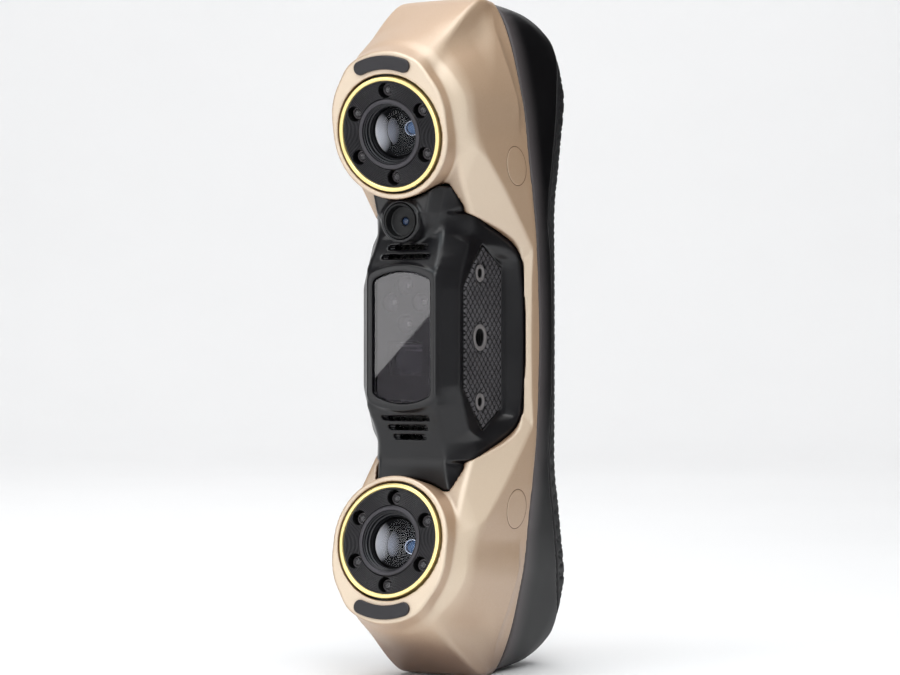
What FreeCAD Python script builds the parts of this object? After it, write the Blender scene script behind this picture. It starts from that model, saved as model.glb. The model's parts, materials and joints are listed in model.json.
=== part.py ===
import FreeCAD, Part
import Sketcher
import math
import os

# A hand-held 3-D scanner: two converging cameras in a front casing, a centre housing
# with projector window and colour camera between them, a back casing and a rear cover
# with three push buttons.
# +Z runs along the long axis, the cameras look towards -Y, +X is the right side. Millimetres.

App = FreeCAD
V = App.Vector
doc = App.newDocument("handheld_scanner")

# ---------------------------------------------------------------- driving dimensions
DIMS = [
    ("body_height", 203.0, "overall height along Z"),
    ("front_plane", -27.0, "front of the side cheeks"),
    ("wall", 2.2, "casing wall thickness"),
    ("cover_t", 2.0, "rear cover thickness"),
    ("gap", 0.35, "visible joint gap between casings"),
    ("lens_z", 58.98, "camera axis height at the flange plane"),
    ("lens_y", -35.7, "flange plane position on the camera axis"),
    ("toe_in", 11.6, "inward tilt of each camera, degrees"),
    ("pod_rad", 19.2, "pod flange radius"),
    ("pod_lift", 4.2, "pod flange lengthening towards the end"),
    ("pod_depth", 34.0, "pod depth behind the flange plane"),
    ("bore_rad", 17.5, "opening around the camera trim"),
    ("slope_deg", 30.4, "end slope above horizontal"),
    ("slope_y", -40.4, "start of the end slope"),
    ("slope_z", 81.9, "start of the end slope"),
    ("ridge_half", 13.0, "half width of the end ridge"),
    ("shoulder_drop", 4.05, "shoulder below the end slope"),
    ("trim_out", 16.85, "trim ring outer radius"),
    ("trim_in", 15.6, "trim ring inner radius"),
    ("trim_proud", 0.35, "trim ring height over the flange"),
    ("bezel_out", 15.5, "camera bezel outer radius"),
    ("bezel_in", 8.95, "camera bezel inner radius"),
    ("bezel_lip", 10.2, "camera bezel lip radius"),
    ("led_pitch", 12.75, "lamp pitch radius"),
    ("led_hole", 2.2, "lamp hole radius"),
    ("led_rad", 1.25, "lamp dome radius"),
    ("barrel_out", 8.85, "lens barrel outer radius"),
    ("barrel_len", 15.5, "lens barrel length"),
    ("glass_rad", 7.4, "front lens radius"),
    ("pad_in", 18.95, "bumper inner radius"),
    ("pad_out", 22.9, "bumper outer radius"),
    ("pad_angle", 41.0, "bumper arc between its end centres, degrees"),
    ("pad_proud", 0.8, "bumper height over the flange"),
    ("nose_y", -28.6, "centre housing front plane"),
    ("side_half", 16.5, "grip side half width"),
    ("house_wall", 2.0, "centre housing wall"),
    ("win_w", 19.2, "window width"),
    ("win_z", 38.5, "window height at its middle"),
    ("win_t", 1.5, "window thickness"),
    ("rgb_z", 34.07, "colour camera height"),
    ("rgb_y", -29.5, "colour camera front plane"),
    ("rgb_rad", 4.5, "colour camera opening radius"),
    ("vent_t", 1.5, "vent slot height"),
    ("vent_pitch", 2.8, "vent slot spacing"),
    ("vent_z", 23.7, "first vent slot height"),
    ("thread_y", -11.0, "tripod thread position"),
    ("thread_rad", 2.55, "tripod thread bore, 1/4 inch 20 minor radius"),
    ("thread_out", 3.95, "tripod insert outer radius"),
    ("thread_len", 9.0, "tripod insert length"),
    ("acc_pitch", 38.0, "accessory thread spacing"),
    ("acc_rad", 1.25, "accessory thread bore, M3 minor radius"),
    ("acc_out", 2.55, "accessory insert outer radius"),
    ("acc_len", 7.0, "accessory insert length"),
    ("insert_face", 16.55, "outer face of the threaded inserts along X"),
    ("plug_y", -1.0, "side plug position"),
    ("plug_z", 51.0, "side plug height"),
    ("plug_rad", 5.75, "side plug radius"),
    ("board_t", 1.2, "circuit board thickness"),
    ("key_z", 15.0, "spacing of the small keys from the start key"),
    ("key_rad", 6.8, "start key radius"),
    ("key_small", 4.4, "small key radius"),
    ("key_gap", 0.2, "gap around each key"),
    ("key_face", 34.0, "key face position along Y"),
    ("status_rise", 9.0, "status light above the plus key"),
    ("port_w", 12.4, "connector opening width"),
    ("port_h", 6.4, "connector opening height"),
    ("port_y", 16.5, "connector position along Y"),
]
SIZE = {}
sheet = doc.addObject("Spreadsheet::Sheet", "dims")
for row, (alias, value, note) in enumerate(DIMS, 1):
    sheet.set("A%d" % row, alias)
    sheet.set("B%d" % row, "%g" % value)
    sheet.set("C%d" % row, note)
    sheet.setAlias("B%d" % row, alias)
    SIZE[alias] = value
doc.recompute()


class Length:
    """A length that knows both its number and its spreadsheet expression."""

    def __init__(self, value, formula):
        self.value = float(value)
        self.formula = formula
        self.driven = "dims." in formula

    def __add__(self, other):
        other = as_length(other)
        return Length(self.value + other.value, "(%s + %s)" % (self.formula, other.formula))

    __radd__ = __add__

    def __sub__(self, other):
        other = as_length(other)
        return Length(self.value - other.value, "(%s - %s)" % (self.formula, other.formula))

    def __rsub__(self, other):
        return as_length(other) - self

    def __mul__(self, other):
        other = as_length(other)
        return Length(self.value * other.value, "(%s * %s)" % (self.formula, other.formula))

    __rmul__ = __mul__

    def __truediv__(self, other):
        other = as_length(other)
        return Length(self.value / other.value, "(%s / %s)" % (self.formula, other.formula))

    def __neg__(self):
        return Length(-self.value, "(-1 * %s)" % self.formula)


def as_length(x):
    return x if isinstance(x, Length) else Length(x, "%.6f" % float(x))


def dim(alias):
    return Length(SIZE[alias], "dims." + alias)


def bind(obj, prop, amount):
    amount = as_length(amount)
    setattr(obj, prop, amount.value)
    if amount.driven:
        obj.setExpression(prop, amount.formula)


# ---------------------------------------------------------------- placement
# Rotations named after the direction that local +Z turns to.
TO_FRONT = App.Rotation(V(1, 0, 0), 90)
TO_BACK = App.Rotation(V(1, 0, 0), -90)
TO_SIDE = {side: App.Rotation(V(0, 1, 0), 90 * side) for side in (1, -1)}
# Flat boards facing the back: local +Z becomes +Y, local +Y becomes +Z.
BOARD_TO_BACK = App.Rotation(V(0, 1, 1), 180)

# Camera frames: origin on the flange plane, local +Z along the view. 1 is upper, -1 lower.
CAMERA = {
    end: App.Placement(
        V(0, SIZE["lens_y"], SIZE["lens_z"] * end),
        App.Rotation(V(1, 0, 0), 90.0 + SIZE["toe_in"] * end),
    )
    for end in (1, -1)
}
# Every (side along X, end along Z) pair.
CORNERS = [(side, end) for side in (1, -1) for end in (1, -1)]


def place(obj, position, rotation=None):
    position = [as_length(a) for a in position]
    obj.Placement = App.Placement(V(*[a.value for a in position]), rotation or App.Rotation())
    for axis, amount in zip("xyz", position):
        if amount.driven:
            obj.setExpression(".Placement.Base." + axis, amount.formula)
    return obj


def on_camera(obj, end):
    """Carry an object from camera coordinates to its place in the scanner."""
    obj.Placement = CAMERA[end].multiply(obj.Placement)
    return obj


# ---------------------------------------------------------------- solids
def cylinder(radius, height, position=(0, 0, 0), rotation=None):
    o = doc.addObject("Part::Cylinder", "cylinder")
    bind(o, "Radius", radius)
    bind(o, "Height", height)
    return place(o, position, rotation)


def box(length, width, height, centre):
    """Box with its middle at centre."""
    o = doc.addObject("Part::Box", "box")
    sizes = [as_length(a) for a in (length, width, height)]
    for prop, size in zip(("Length", "Width", "Height"), sizes):
        bind(o, prop, size)
    return place(o, [as_length(a) - size / 2 for a, size in zip(centre, sizes)])


def cone(radius1, radius2, height, position, rotation):
    o = doc.addObject("Part::Cone", "cone")
    bind(o, "Radius1", radius1)
    bind(o, "Radius2", radius2)
    bind(o, "Height", height)
    return place(o, position, rotation)


def cut(base, *tools):
    """Cut the tools one after another."""
    for tool in tools:
        o = doc.addObject("Part::Cut", "cut")
        o.Base = base
        o.Tool = tool
        base = o
    return base


def fuse(*shapes):
    o = doc.addObject("Part::MultiFuse", "fuse")
    o.Shapes = list(shapes)
    return o


def cut_all(base, *tools):
    """Cut the tools fused into one."""
    return cut(base, fuse(*tools))


def common(*shapes):
    o = doc.addObject("Part::MultiCommon", "common")
    o.Shapes = list(shapes)
    return o


def half_space(normal, distance, size=400.0):
    """Block standing on the plane normal . p = distance, on its far side."""
    normal = V(*normal)
    normal.normalize()
    o = doc.addObject("Part::Box", "half_space")
    o.Length = size
    o.Width = size
    o.Height = size
    rotation = App.Rotation(V(0, 0, 1), normal)
    corner = normal * distance + rotation.multVec(V(-size / 2, -size / 2, 0))
    o.Placement = App.Placement(corner, rotation)
    return o


def polygon(points):
    wire = doc.addObject("Part::Polygon", "outline")
    wire.Nodes = [V(*p) for p in points]
    wire.Close = True
    return wire


def prism_x(points, half=60.0):
    """Solid with a closed (y, z) outline, from -half to +half along X."""
    o = doc.addObject("Part::Extrusion", "prism")
    o.Base = polygon([(-half, y, z) for y, z in points])
    o.DirMode = "Custom"
    o.Dir = V(1, 0, 0)
    o.LengthFwd = 2 * half
    o.Solid = True
    return o


def loft(sections):
    """Ruled solid through closed outlines given as lists of (x, y, z)."""
    o = doc.addObject("Part::Loft", "loft")
    o.Sections = [polygon(section) for section in sections]
    o.Solid = True
    o.Ruled = True
    o.Closed = False
    return o


def prism_z(points, low, high):
    """Solid with a closed (x, y) outline between two heights."""
    return loft([[(x, y, z) for x, y in points] for z in (low, high)])


def symmetric_loft(stations):
    """Loft mirrored in X and Z from (z, right half outline) stations, z rising from 0."""

    def ring(z, half):
        return [(x, y, z) for x, y in half] + [(-x, y, z) for x, y in reversed(half)]

    below = [ring(-z, half) for z, half in reversed(stations) if z != 0.0]
    return loft(below + [ring(z, half) for z, half in stations])


# ---------------------------------------------------------------- sketched bodies
def origin_feature(body, role):
    for feature in body.Origin.OriginFeatures:
        if feature.Role == role:
            return feature
    raise RuntimeError(role)


def new_body():
    return doc.addObject("PartDesign::Body", "body")


def sketch_on(body, role="XY_Plane"):
    sketch = body.newObject("Sketcher::SketchObject", "sketch")
    sketch.AttachmentSupport = [(origin_feature(body, role), "")]
    sketch.MapMode = "FlatFace"
    return sketch


def dimension(sketch, kind, references, amount):
    index = sketch.addConstraint(Sketcher.Constraint(kind, *references, amount.value))
    if amount.driven:
        sketch.setExpression("Constraints[%d]" % index, amount.formula)


def hold_point(sketch, geometry, point, x, y):
    """Dimension a point from the sketch origin; constant zeros put it on the axis."""
    for kind, amount, axis in (("DistanceX", x, -2), ("DistanceY", y, -1)):
        if abs(amount.value) < 1e-9 and not amount.driven:
            sketch.addConstraint(Sketcher.Constraint("PointOnObject", geometry, point, axis))
        else:
            dimension(sketch, kind, (-1, 1, geometry, point), amount)


def outline(sketch, points):
    """Closed polygon with dimensioned corners, in a sketch without geometry."""
    points = [(as_length(x), as_length(y)) for x, y in points]
    n = len(points)
    corners = [V(x.value, y.value, 0) for x, y in points]
    for i in range(n):
        sketch.addGeometry(Part.LineSegment(corners[i], corners[(i + 1) % n]), False)
    for i in range(n):
        sketch.addConstraint(Sketcher.Constraint("Coincident", i, 2, (i + 1) % n, 1))
    for i, (x, y) in enumerate(points):
        hold_point(sketch, i, 1, x, y)


def circle(sketch, radius, x=0, y=0):
    radius, x, y = as_length(radius), as_length(x), as_length(y)
    disc = Part.Circle(V(x.value, y.value, 0), V(0, 0, 1), radius.value)
    index = sketch.addGeometry(disc, False)
    dimension(sketch, "Radius", (index,), radius)
    hold_point(sketch, index, 3, x, y)


def pad(body, sketch, length):
    feature = body.newObject("PartDesign::Pad", "pad")
    feature.Profile = sketch
    bind(feature, "Length", length)
    sketch.Visibility = False
    doc.recompute()


def pocket_through(body, sketch):
    feature = body.newObject("PartDesign::Pocket", "pocket")
    feature.Profile = sketch
    feature.Type = 1
    feature.Midplane = True
    doc.recompute()
    return feature


def revolve(profile):
    """Body turned about its own Z axis from a profile of (radius, height) corners."""
    body = new_body()
    sketch = sketch_on(body, "XZ_Plane")
    outline(sketch, profile)
    feature = body.newObject("PartDesign::Revolution", "revolution")
    feature.Profile = sketch
    feature.ReferenceAxis = (sketch, ["V_Axis"])
    feature.Angle = 360.0
    doc.recompute()
    return body


def plate(width, height, thickness, holes):
    """Rectangular plate in its own XY plane with round holes (radius, x, y)."""
    body = new_body()
    sketch = sketch_on(body)
    x, y = as_length(width) / 2, as_length(height) / 2
    outline(sketch, [(-x, -y), (x, -y), (x, y), (-x, y)])
    for hole in holes:
        circle(sketch, *hole)
    pad(body, sketch, thickness)
    return body


# ---------------------------------------------------------------- casing envelope
# height, front half width, seam (x, y), crease (x, y), back corner (x, y)
ENVELOPE = [
    (0.0, 22.9, 23.3, 14.5, 21.8, 25.4, 19.6, 31.9),
    (13.5, 22.9, 23.4, 13.7, 21.8, 25.2, 19.6, 31.9),
    (26.0, 23.0, 23.8, 12.0, 22.0, 23.7, 19.6, 31.9),
    (36.0, 23.1, 24.0, 10.2, 22.2, 21.9, 19.6, 31.9),
    (43.0, 23.2, 24.0, 8.8, 22.3, 22.4, 19.6, 32.5),
    (50.0, 23.1, 23.6, 7.9, 22.2, 23.8, 19.6, 34.2),
    (58.0, 22.4, 22.9, 7.6, 21.9, 26.0, 19.6, 35.8),
    (64.0, 21.6, 22.3, 7.6, 21.5, 27.8, 19.6, 37.1),
    (69.0, 20.2, 21.6, 7.6, 21.0, 29.5, 19.5, 38.5),
    (75.5, 18.3, 20.3, 7.6, 20.0, 31.6, 19.1, 39.7),
    (81.5, 16.4, 19.1, 7.6, 19.0, 33.6, 18.3, 39.0),
    (87.3, 14.0, 17.8, 7.6, 17.7, 32.4, 17.0, 38.4),
    (91.0, 12.5, 16.7, 7.6, 16.6, 30.0, 15.8, 38.0),
    (95.5, 10.5, 15.0, 7.6, 14.8, 26.0, 13.5, 34.8),
    (99.0, 9.0, 12.9, 7.6, 12.5, 19.6, 11.0, 29.5),
    (101.5, 8.0, 10.5, 7.6, 10.0, 14.0, 8.0, 23.2),
]
COARSE_SKIPS = (13.5, 43.0, 64.0, 75.5, 87.3, 95.5)  # heights left out of inner shapes
CROWN = 1.4  # bulge of the back between its corners
HALF_HEIGHT = SIZE["body_height"] / 2


def envelope(inset, front, coarse=False):
    """Side cheeks and back of the casing from the plane y = front, inset all round."""
    top = HALF_HEIGHT - inset
    table = [r for r in ENVELOPE if not (coarse and r[0] in COARSE_SKIPS)]
    rows = [r for r in table if r[0] < top - 0.3]
    last, following = rows[-1], table[len(rows)]
    t = (top - last[0]) / (following[0] - last[0])
    rows.append(tuple(a + (b - a) * t for a, b in zip(last, following)))
    stations = []
    for z, front_x, seam_x, seam_y, crease_x, crease_y, back_x, back_y in rows:
        # the casing narrows towards its ends, so the inset grows with the slope
        side = inset if z < 60 else inset * (1.0 + (z - 60.0) / 60.0)
        half = [
            (front_x - side, front),
            (seam_x - side, seam_y),
            (crease_x - side, crease_y - inset * 0.3),
            (back_x - side, back_y - inset * 1.05),
            (back_x * 0.62 - side * 0.4, back_y + CROWN - inset * 1.05),
        ]
        stations.append((z, [(max(x, 1.5), y) for x, y in half]))
    return symmetric_loft(stations)


# ---------------------------------------------------------------- parting lines
def mirror_line(points):
    """Continue a line of (y, z) points rising from z = 0 below the middle."""
    return [(y, -z) for y, z in reversed(points[1:])] + points


SEAM_LINE = mirror_line([(row[3], row[0]) for row in ENVELOPE])
# (y, z) of the edge between back casing and rear cover
CREASE_LINE = mirror_line([
    (25.4, 0.0), (25.2, 13.5), (23.7, 26.0), (21.9, 36.0), (22.4, 43.0),
    (26.0, 58.0), (31.0, 73.3), (35.6, 84.5), (42.5, 93.0),
])
# (y, z) front limit of the shell where it frames the centre housing
RIM = [
    (7.0, 0.0), (6.6, 13.2), (6.0, 22.8), (2.7, 28.0),
    (-2.3, 30.9), (-8.7, 33.5), (-16.2, 36.0), (-22.0, 38.0),
]


def region_to(limit, line, shift):
    """Space between a parting line, shifted along Y, and the plane y = limit."""
    points = [(y + shift, z) for y, z in line]
    (first_y, first_z), (last_y, last_z) = points[0], points[-1]
    low, high = first_z - 20, last_z + 20
    return prism_x([(limit, low), (first_y, low)] + points + [(last_y, high), (limit, high)])


def front_of(line, shift):
    return region_to(-90.0, line, shift)


def behind(line, shift):
    return region_to(90.0, line, shift)


def rim_front(inset):
    """Space in front of the rim of the middle opening."""
    points = mirror_line([(y + inset, z + inset * 0.4) for y, z in RIM])
    return prism_x([(-90.0, points[0][1])] + points + [(-90.0, points[-1][1])])


# ---------------------------------------------------------------- front casing shape
# Planes as outward normal and distance, given for the upper right quarter.
FACET = V(0.838, -0.392, -0.381)  # slanted face on the inner side of each pod
FACET.normalize()
FACET_D = 6.45
FADE_Z = 58.5  # height where the facet starts to run out
FADE = 0.42
DECK = V(0, -0.805, -0.593)  # face from each pod towards the middle
DECK_D = -8.3
SLOPE_ANGLE = math.radians(SIZE["slope_deg"])
SLOPE = V(0, -math.sin(SLOPE_ANGLE), math.cos(SLOPE_ANGLE))
SLOPE_D = SLOPE.dot(V(0, SIZE["slope_y"], SIZE["slope_z"]))
TOE_IN = math.radians(SIZE["toe_in"])
FLANGE = V(0, -math.cos(TOE_IN), -math.sin(TOE_IN))
FLANGE_D = FLANGE.dot(V(0, SIZE["lens_y"], SIZE["lens_z"]))


def beyond(normal, distance, end, side=1):
    """Half space outside a quarter plane, mirrored to the wanted side and end."""
    return half_space((normal.x * side, normal.y, normal.z * end), distance)


def facet_space(inset, side, end):
    """Space in front of one slanted facet; the facet runs out beside the pod."""
    fade = V(FACET.x, FACET.y, FACET.z - FADE)
    fade_d = (FACET_D - inset - FADE * FADE_Z) / fade.Length
    return common(
        beyond(FACET, FACET_D - inset, end, side),
        beyond(fade, fade_d, end, side),
    )


def pod(inset, end):
    """Camera pod: a lengthened round boss behind the tilted flange plane, with end ridge."""
    radius = dim("pod_rad") - inset
    depth = dim("pod_depth")
    lift = dim("pod_lift") * end
    boss = on_camera(fuse(
        cylinder(radius, depth - inset, (0, 0, -depth)),
        cylinder(radius, depth - inset, (0, lift, -depth)),
        box(radius * 2, dim("pod_lift"), depth - inset, (0, lift / 2, -(depth + inset) / 2)),
    ), end)
    half = SIZE["ridge_half"] - inset
    low, high = sorted((62.0 * end, (HALF_HEIGHT - inset) * end))
    ridge = prism_z([
        (-half + 0.3, -44.0), (half - 0.3, -44.0), (half + 0.3, -7.0),
        (half - 1.0, 7.45 + inset), (-half + 1.0, 7.45 + inset), (-half - 0.3, -7.0),
    ], low, high)
    return cut(
        fuse(boss, ridge),
        beyond(FLANGE, FLANGE_D - inset, end),
        beyond(SLOPE, SLOPE_D - inset, end),
    )


def lobe_region(inset, end):
    """Block bounded by the slanted faces around one pod."""
    return cut(
        box(60, 60, 110, (0, SIZE["front_plane"] + inset + 30.0, 60.0 * end)),
        facet_space(inset, 1, end),
        facet_space(inset, -1, end),
        beyond(DECK, DECK_D - inset, end),
        beyond(SLOPE, SLOPE_D - SIZE["shoulder_drop"] - inset, end),
        rim_front(inset),
    )


def rail_region(inset):
    """Prism whose front is the plan outline of the side rails between the pods."""
    rail_x, rail_y = 21.6 - inset, 7.0 + inset * 0.4
    edge_x, edge_y = 23.1 - inset, 8.25 + inset * 0.4
    return prism_z([
        (-40, edge_y), (-edge_x, edge_y), (-rail_x, rail_y), (rail_x, rail_y),
        (edge_x, edge_y), (40, edge_y), (40, 30.1), (-40, 30.1),
    ], -103.0, 103.0)


def front_shape(inset, seam_shift, coarse=False):
    region = fuse(rail_region(inset), lobe_region(inset, 1), lobe_region(inset, -1))
    region = common(region, front_of(SEAM_LINE, seam_shift))
    cheeks = common(envelope(inset, -60.0, coarse), region)
    return fuse(cheeks, pod(inset, 1), pod(inset, -1))


# ---------------------------------------------------------------- centre housing shape
# height, front (x, y), grip side front y, flare start y, joint line (x, y)
HOUSE = [
    (0.0, 11.8, -28.6, -23.2, 2.6, 21.25, 6.75),
    (13.8, 11.8, -28.6, -23.2, 2.5, 21.15, 6.3),
    (19.5, 11.8, -28.6, -21.0, 2.3, 20.9, 5.8),
    (22.8, 11.7, -27.0, -19.6, 1.6, 20.7, 5.4),
    (25.2, 11.4, -25.6, -18.7, -4.4, 20.4, 4.4),
    (27.6, 11.1, -24.5, -17.8, -10.3, 19.8, 2.2),
    (31.0, 10.8, -23.4, -16.9, -12.2, 18.3, -3.4),
    (33.6, 10.9, -22.9, -17.2, -13.6, 17.1, -9.6),
    (36.0, 11.2, -22.6, -17.6, -14.9, 16.5, -14.4),
    (37.1, 11.3, -22.6, -17.8, -14.9, 14.4, -14.4),
    (40.5, 11.6, -22.4, -18.2, -14.9, 14.4, -14.4),
    (45.0, 12.4, -22.2, -18.8, -14.9, 14.4, -14.4),
]
# height, front (x, y), side front y, side rear y, flare (x, y)
CAVITY = [
    (0.0, 10.2, -26.0, -21.6, 2.8, 18.9, 7.2),
    (19.5, 10.2, -26.0, -19.4, 2.4, 18.6, 6.4),
    (27.0, 9.4, -22.6, -16.6, -1.0, 18.0, 2.4),
    (34.0, 9.0, -20.4, -13.2, -9.8, 15.2, -8.6),
    (36.4, 8.9, -20.3, -13.1, -9.8, 12.6, -8.8),
    (46.0, 8.6, -19.8, -12.8, -9.8, 12.6, -9.4),
]
END_HALF = 14.4  # half width of the two narrow ends
# (y, z) corners of the side grip pads
GRIP_PAD = [
    (-20.6, -14.8), (-10.2, -27.0), (-9.2, -27.0), (1.9, -21.0),
    (1.9, 21.0), (-9.2, 27.0), (-10.2, 27.0), (-20.6, 14.8),
]


def house_loft(inset, back):
    stations = []
    for z, front_x, front_y, side_y, flare_y, joint_x, joint_y in HOUSE:
        side_x = SIZE["side_half"] if z <= 36.0 else END_HALF
        stations.append((z, [
            (front_x - inset * 0.6, front_y + inset),
            (side_x - inset, side_y + inset * 0.45),
            (side_x - inset, flare_y),
            (joint_x - inset, joint_y),
            (joint_x - inset, back),
        ]))
    return symmetric_loft(stations)


def house_cavity():
    grip_x = SIZE["side_half"] - SIZE["house_wall"] - 0.1
    stations = []
    for z, front_x, front_y, side_y, rear_y, flare_x, flare_y in CAVITY:
        side_x = grip_x if z < 35.0 else END_HALF - 1.8
        stations.append((z, [
            (front_x, front_y), (side_x, side_y), (side_x, rear_y),
            (flare_x, flare_y), (flare_x, 20.0),
        ]))
    return symmetric_loft(stations)


def pod_clearance(extra, end):
    radius = dim("pod_rad") + extra
    return on_camera(fuse(
        cylinder(radius, 90, (0, 0, -70)),
        cylinder(radius, 90, (0, dim("pod_lift") * end, -70)),
    ), end)


def grip_prism(x_from, x_to, grow):
    centre_y = sum(y for y, z in GRIP_PAD) / len(GRIP_PAD)
    points = [
        (centre_y + (y - centre_y) * (1 + grow / 11.0), z * (1 + grow / 24.0))
        for y, z in GRIP_PAD
    ]
    return loft([[(x, y, z) for y, z in points] for x in (x_from, x_to)])


def insert_holes(clearance, tripod_x, accessory_x):
    """Seats for the tripod insert and the two accessory inserts."""
    holes = [cylinder(dim("thread_out") + clearance, 12, (tripod_x, dim("thread_y"), 0),
                      TO_SIDE[1])]
    for end in (1, -1):
        position = (accessory_x, dim("thread_y"), dim("acc_pitch") / 2 * end)
        holes.append(cylinder(dim("acc_out") + clearance, 12, position, TO_SIDE[1]))
    return holes


def arched_block(width, depth, y, arch_radius, arch_depth, arch_y):
    """Block along X and Z with arched ends; the arches run from arch_y towards the front."""
    return common(
        box(width, depth, 60, (0, y, 0)),
        cylinder(arch_radius, arch_depth, (0, arch_y, -0.5), TO_FRONT),
        cylinder(arch_radius, arch_depth, (0, arch_y, 0.5), TO_FRONT),
    )


# ---------------------------------------------------------------- casings
# (step along Z in key spacings, radius alias)
START_KEY = (0, "key_rad")
PLUS_KEY = (1, "key_small")
MINUS_KEY = (-1, "key_small")
KEYS = (START_KEY, PLUS_KEY, MINUS_KEY)


def at_plug(x, side, end):
    """Point on the axis of one side screw, x measured outward."""
    return side * x, dim("plug_y"), dim("plug_z") * end


def key_openings(radius_extra, length, y):
    return [
        cylinder(dim(radius) + radius_extra, length, (0, y, dim("key_z") * step), TO_BACK)
        for step, radius in KEYS
    ]


def status_box(width, depth, height, y):
    return box(width, depth, height, (0, y, dim("key_z") + dim("status_rise")))


def front_casing():
    shell = front_shape(0.0, -0.08)
    inner = front_shape(SIZE["wall"], 3.0, True)
    bores = [on_camera(cylinder(dim("bore_rad"), 18, (0, 0, -14)), end) for end in (1, -1)]
    opening = cut(
        house_loft(-SIZE["gap"], 12.0),
        pod_clearance(0.0, 1),
        pod_clearance(0.0, -1),
    )
    passage = box(26.0, 33.0, 124.0, (0, 3.5, 0))
    bosses = []  # one behind each side plug
    holes = []
    for side, end in CORNERS:
        turn = TO_SIDE[side]
        bosses.append(cylinder(dim("plug_rad") + 1.3, 4.6, at_plug(17.6, side, end), turn))
        holes.append(cylinder(dim("plug_rad") + 0.06, 8.0, at_plug(20.9, side, end), turn))
        holes.append(cylinder(1.75, 10, at_plug(14.0, side, end), turn))
    shell = fuse(cut(shell, inner), *bosses)
    return cut_all(shell, passage, opening, *bores, *holes)


def back_casing(outer):
    """Side walls between seam and crease, and an inner wall under the rear cover."""
    middle = envelope(SIZE["cover_t"] + 0.08, -41.0, True)
    inner = envelope(SIZE["cover_t"] + 2.1, -42.0, True)
    band = common(behind(SEAM_LINE, 0.08), front_of(CREASE_LINE, -0.05))
    ring = common(outer, band)
    under = common(middle, behind(CREASE_LINE, -0.6))
    shell = cut(fuse(ring, under), inner)
    lugs = []  # for the side screws
    holes = []
    for side, end in CORNERS:
        z = dim("plug_z") * end
        lugs.append(box(3.0, 13.4, 8.0, (side * 15.9, 3.0, z)))
        lugs.append(box(5.0, 3.0, 8.0, (side * 18.2, 10.7, z)))
        holes.append(cylinder(1.28, 12, at_plug(10.0, side, end), TO_SIDE[side]))
    return cut_all(
        fuse(shell, *lugs),
        *holes,
        *key_openings(-0.75, 20, 20),
        status_box(5.2, 20, 1.7, 30),
        box(dim("port_w"), dim("port_h"), 30, (0, dim("port_y"), -95)),
    )


def rear_cover(outer):
    inner = envelope(SIZE["cover_t"], -41.0, True)
    shell = cut(common(outer, behind(CREASE_LINE, 0.1)), inner)
    return cut_all(shell, *key_openings(dim("key_gap"), 14, 26), status_box(4.3, 14, 1.3, 33))


# ---------------------------------------------------------------- centre housing
# height, front y, front half width, rear half width of the block round the colour camera
RGB_BLOCK = [(30.5, -23.6, 8.0, 10.0), (36.5, -28.4, 8.6, 11.8), (45.0, -28.4, 10.6, 12.9)]
# row, end, width of each vent slot
VENTS = [(0, 1, 16.2), (0, -1, 16.2), (1, 1, 13.4), (1, -1, 13.4), (2, -1, 11.0)]


def centre_housing():
    house = cut(house_loft(0.0, 9.0), house_cavity())
    tube = cylinder(6.6, 10, (0, dim("rgb_y") + 10, dim("rgb_z")), TO_FRONT)
    block = loft([
        [(-rear, -20.5, z), (-front, y, z), (front, y, z), (rear, -20.5, z)]
        for z, y, front, rear in RGB_BLOCK
    ])
    house = fuse(house, tube, block)
    nose_y = dim("nose_y")
    tools = [
        cylinder(5.35, 30, (0, dim("rgb_y") + 20, dim("rgb_z")), TO_FRONT),
        box(9.2, 6.0, 9.2, (0, -19.3, dim("rgb_z"))),
        pod_clearance(0.4, 1),
        pod_clearance(0.4, -1),
        half_space((0, 0, 1), 44.3, 120.0),
        half_space((0, 0, -1), 44.7, 120.0),
    ]
    # window seat, then the smaller opening through it
    for width_extra, depth, edge in ((0.4, 3.8, 0.2), (-1.6, 30.0, -0.8)):
        radius = dim("win_z") / 2 + edge + 0.5
        width = dim("win_w") + width_extra
        tools.append(arched_block(width, depth, nose_y, radius, depth, nose_y + depth / 2))
    for row, end, width in VENTS:
        z = (dim("vent_z") + dim("vent_pitch") * row) * end
        tools.append(box(width, 16, dim("vent_t"), (0, -26, z)))
    tools += [grip_prism(15.4, 17.5, 0.08), grip_prism(-17.5, -15.4, 0.08)]
    tools += insert_holes(0.04, 8, 8)
    return cut_all(house, *tools)


def grip_pad_right():
    return cut(grip_prism(15.42, 16.75, 0.0), *insert_holes(0.04, 8, 8))


def grip_pad_left():
    return grip_prism(-16.75, -15.42, 0.0)


def threaded_insert(outer, bore, length, z):
    start = dim("insert_face") - length
    return cut(
        cylinder(outer, length, (start, dim("thread_y"), z), TO_SIDE[1]),
        cylinder(bore, 30, (0, dim("thread_y"), z), TO_SIDE[1]),
    )


def tripod_insert():
    return threaded_insert(dim("thread_out"), dim("thread_rad"), dim("thread_len"), 0)


def accessory_inserts():
    return fuse(*[
        threaded_insert(dim("acc_out"), dim("acc_rad"), dim("acc_len"),
                        dim("acc_pitch") / 2 * end)
        for end in (1, -1)
    ])


def insert_carrier():
    """Block that carries the threaded inserts."""
    block = box(6.4, 10.6, 46.0, (11.1, dim("thread_y"), 0))
    return cut(block, *insert_holes(0.03, 7.45, 9.45))


# ---------------------------------------------------------------- side screws and plugs
def side_screws():
    screws = []
    for side, end in CORNERS:
        turn = TO_SIDE[side]
        shank = cylinder(1.25, 8.4, at_plug(12.2, side, end), turn)
        head = cut(
            cylinder(2.9, 1.7, at_plug(20.91, side, end), turn),
            cylinder(1.1, 1.2, at_plug(21.5, side, end), turn),
        )
        neck = cylinder(1.25, 1.2, at_plug(20.0, side, end), turn)
        screws.append(fuse(shank, head, neck))
    return fuse(*screws)


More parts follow.
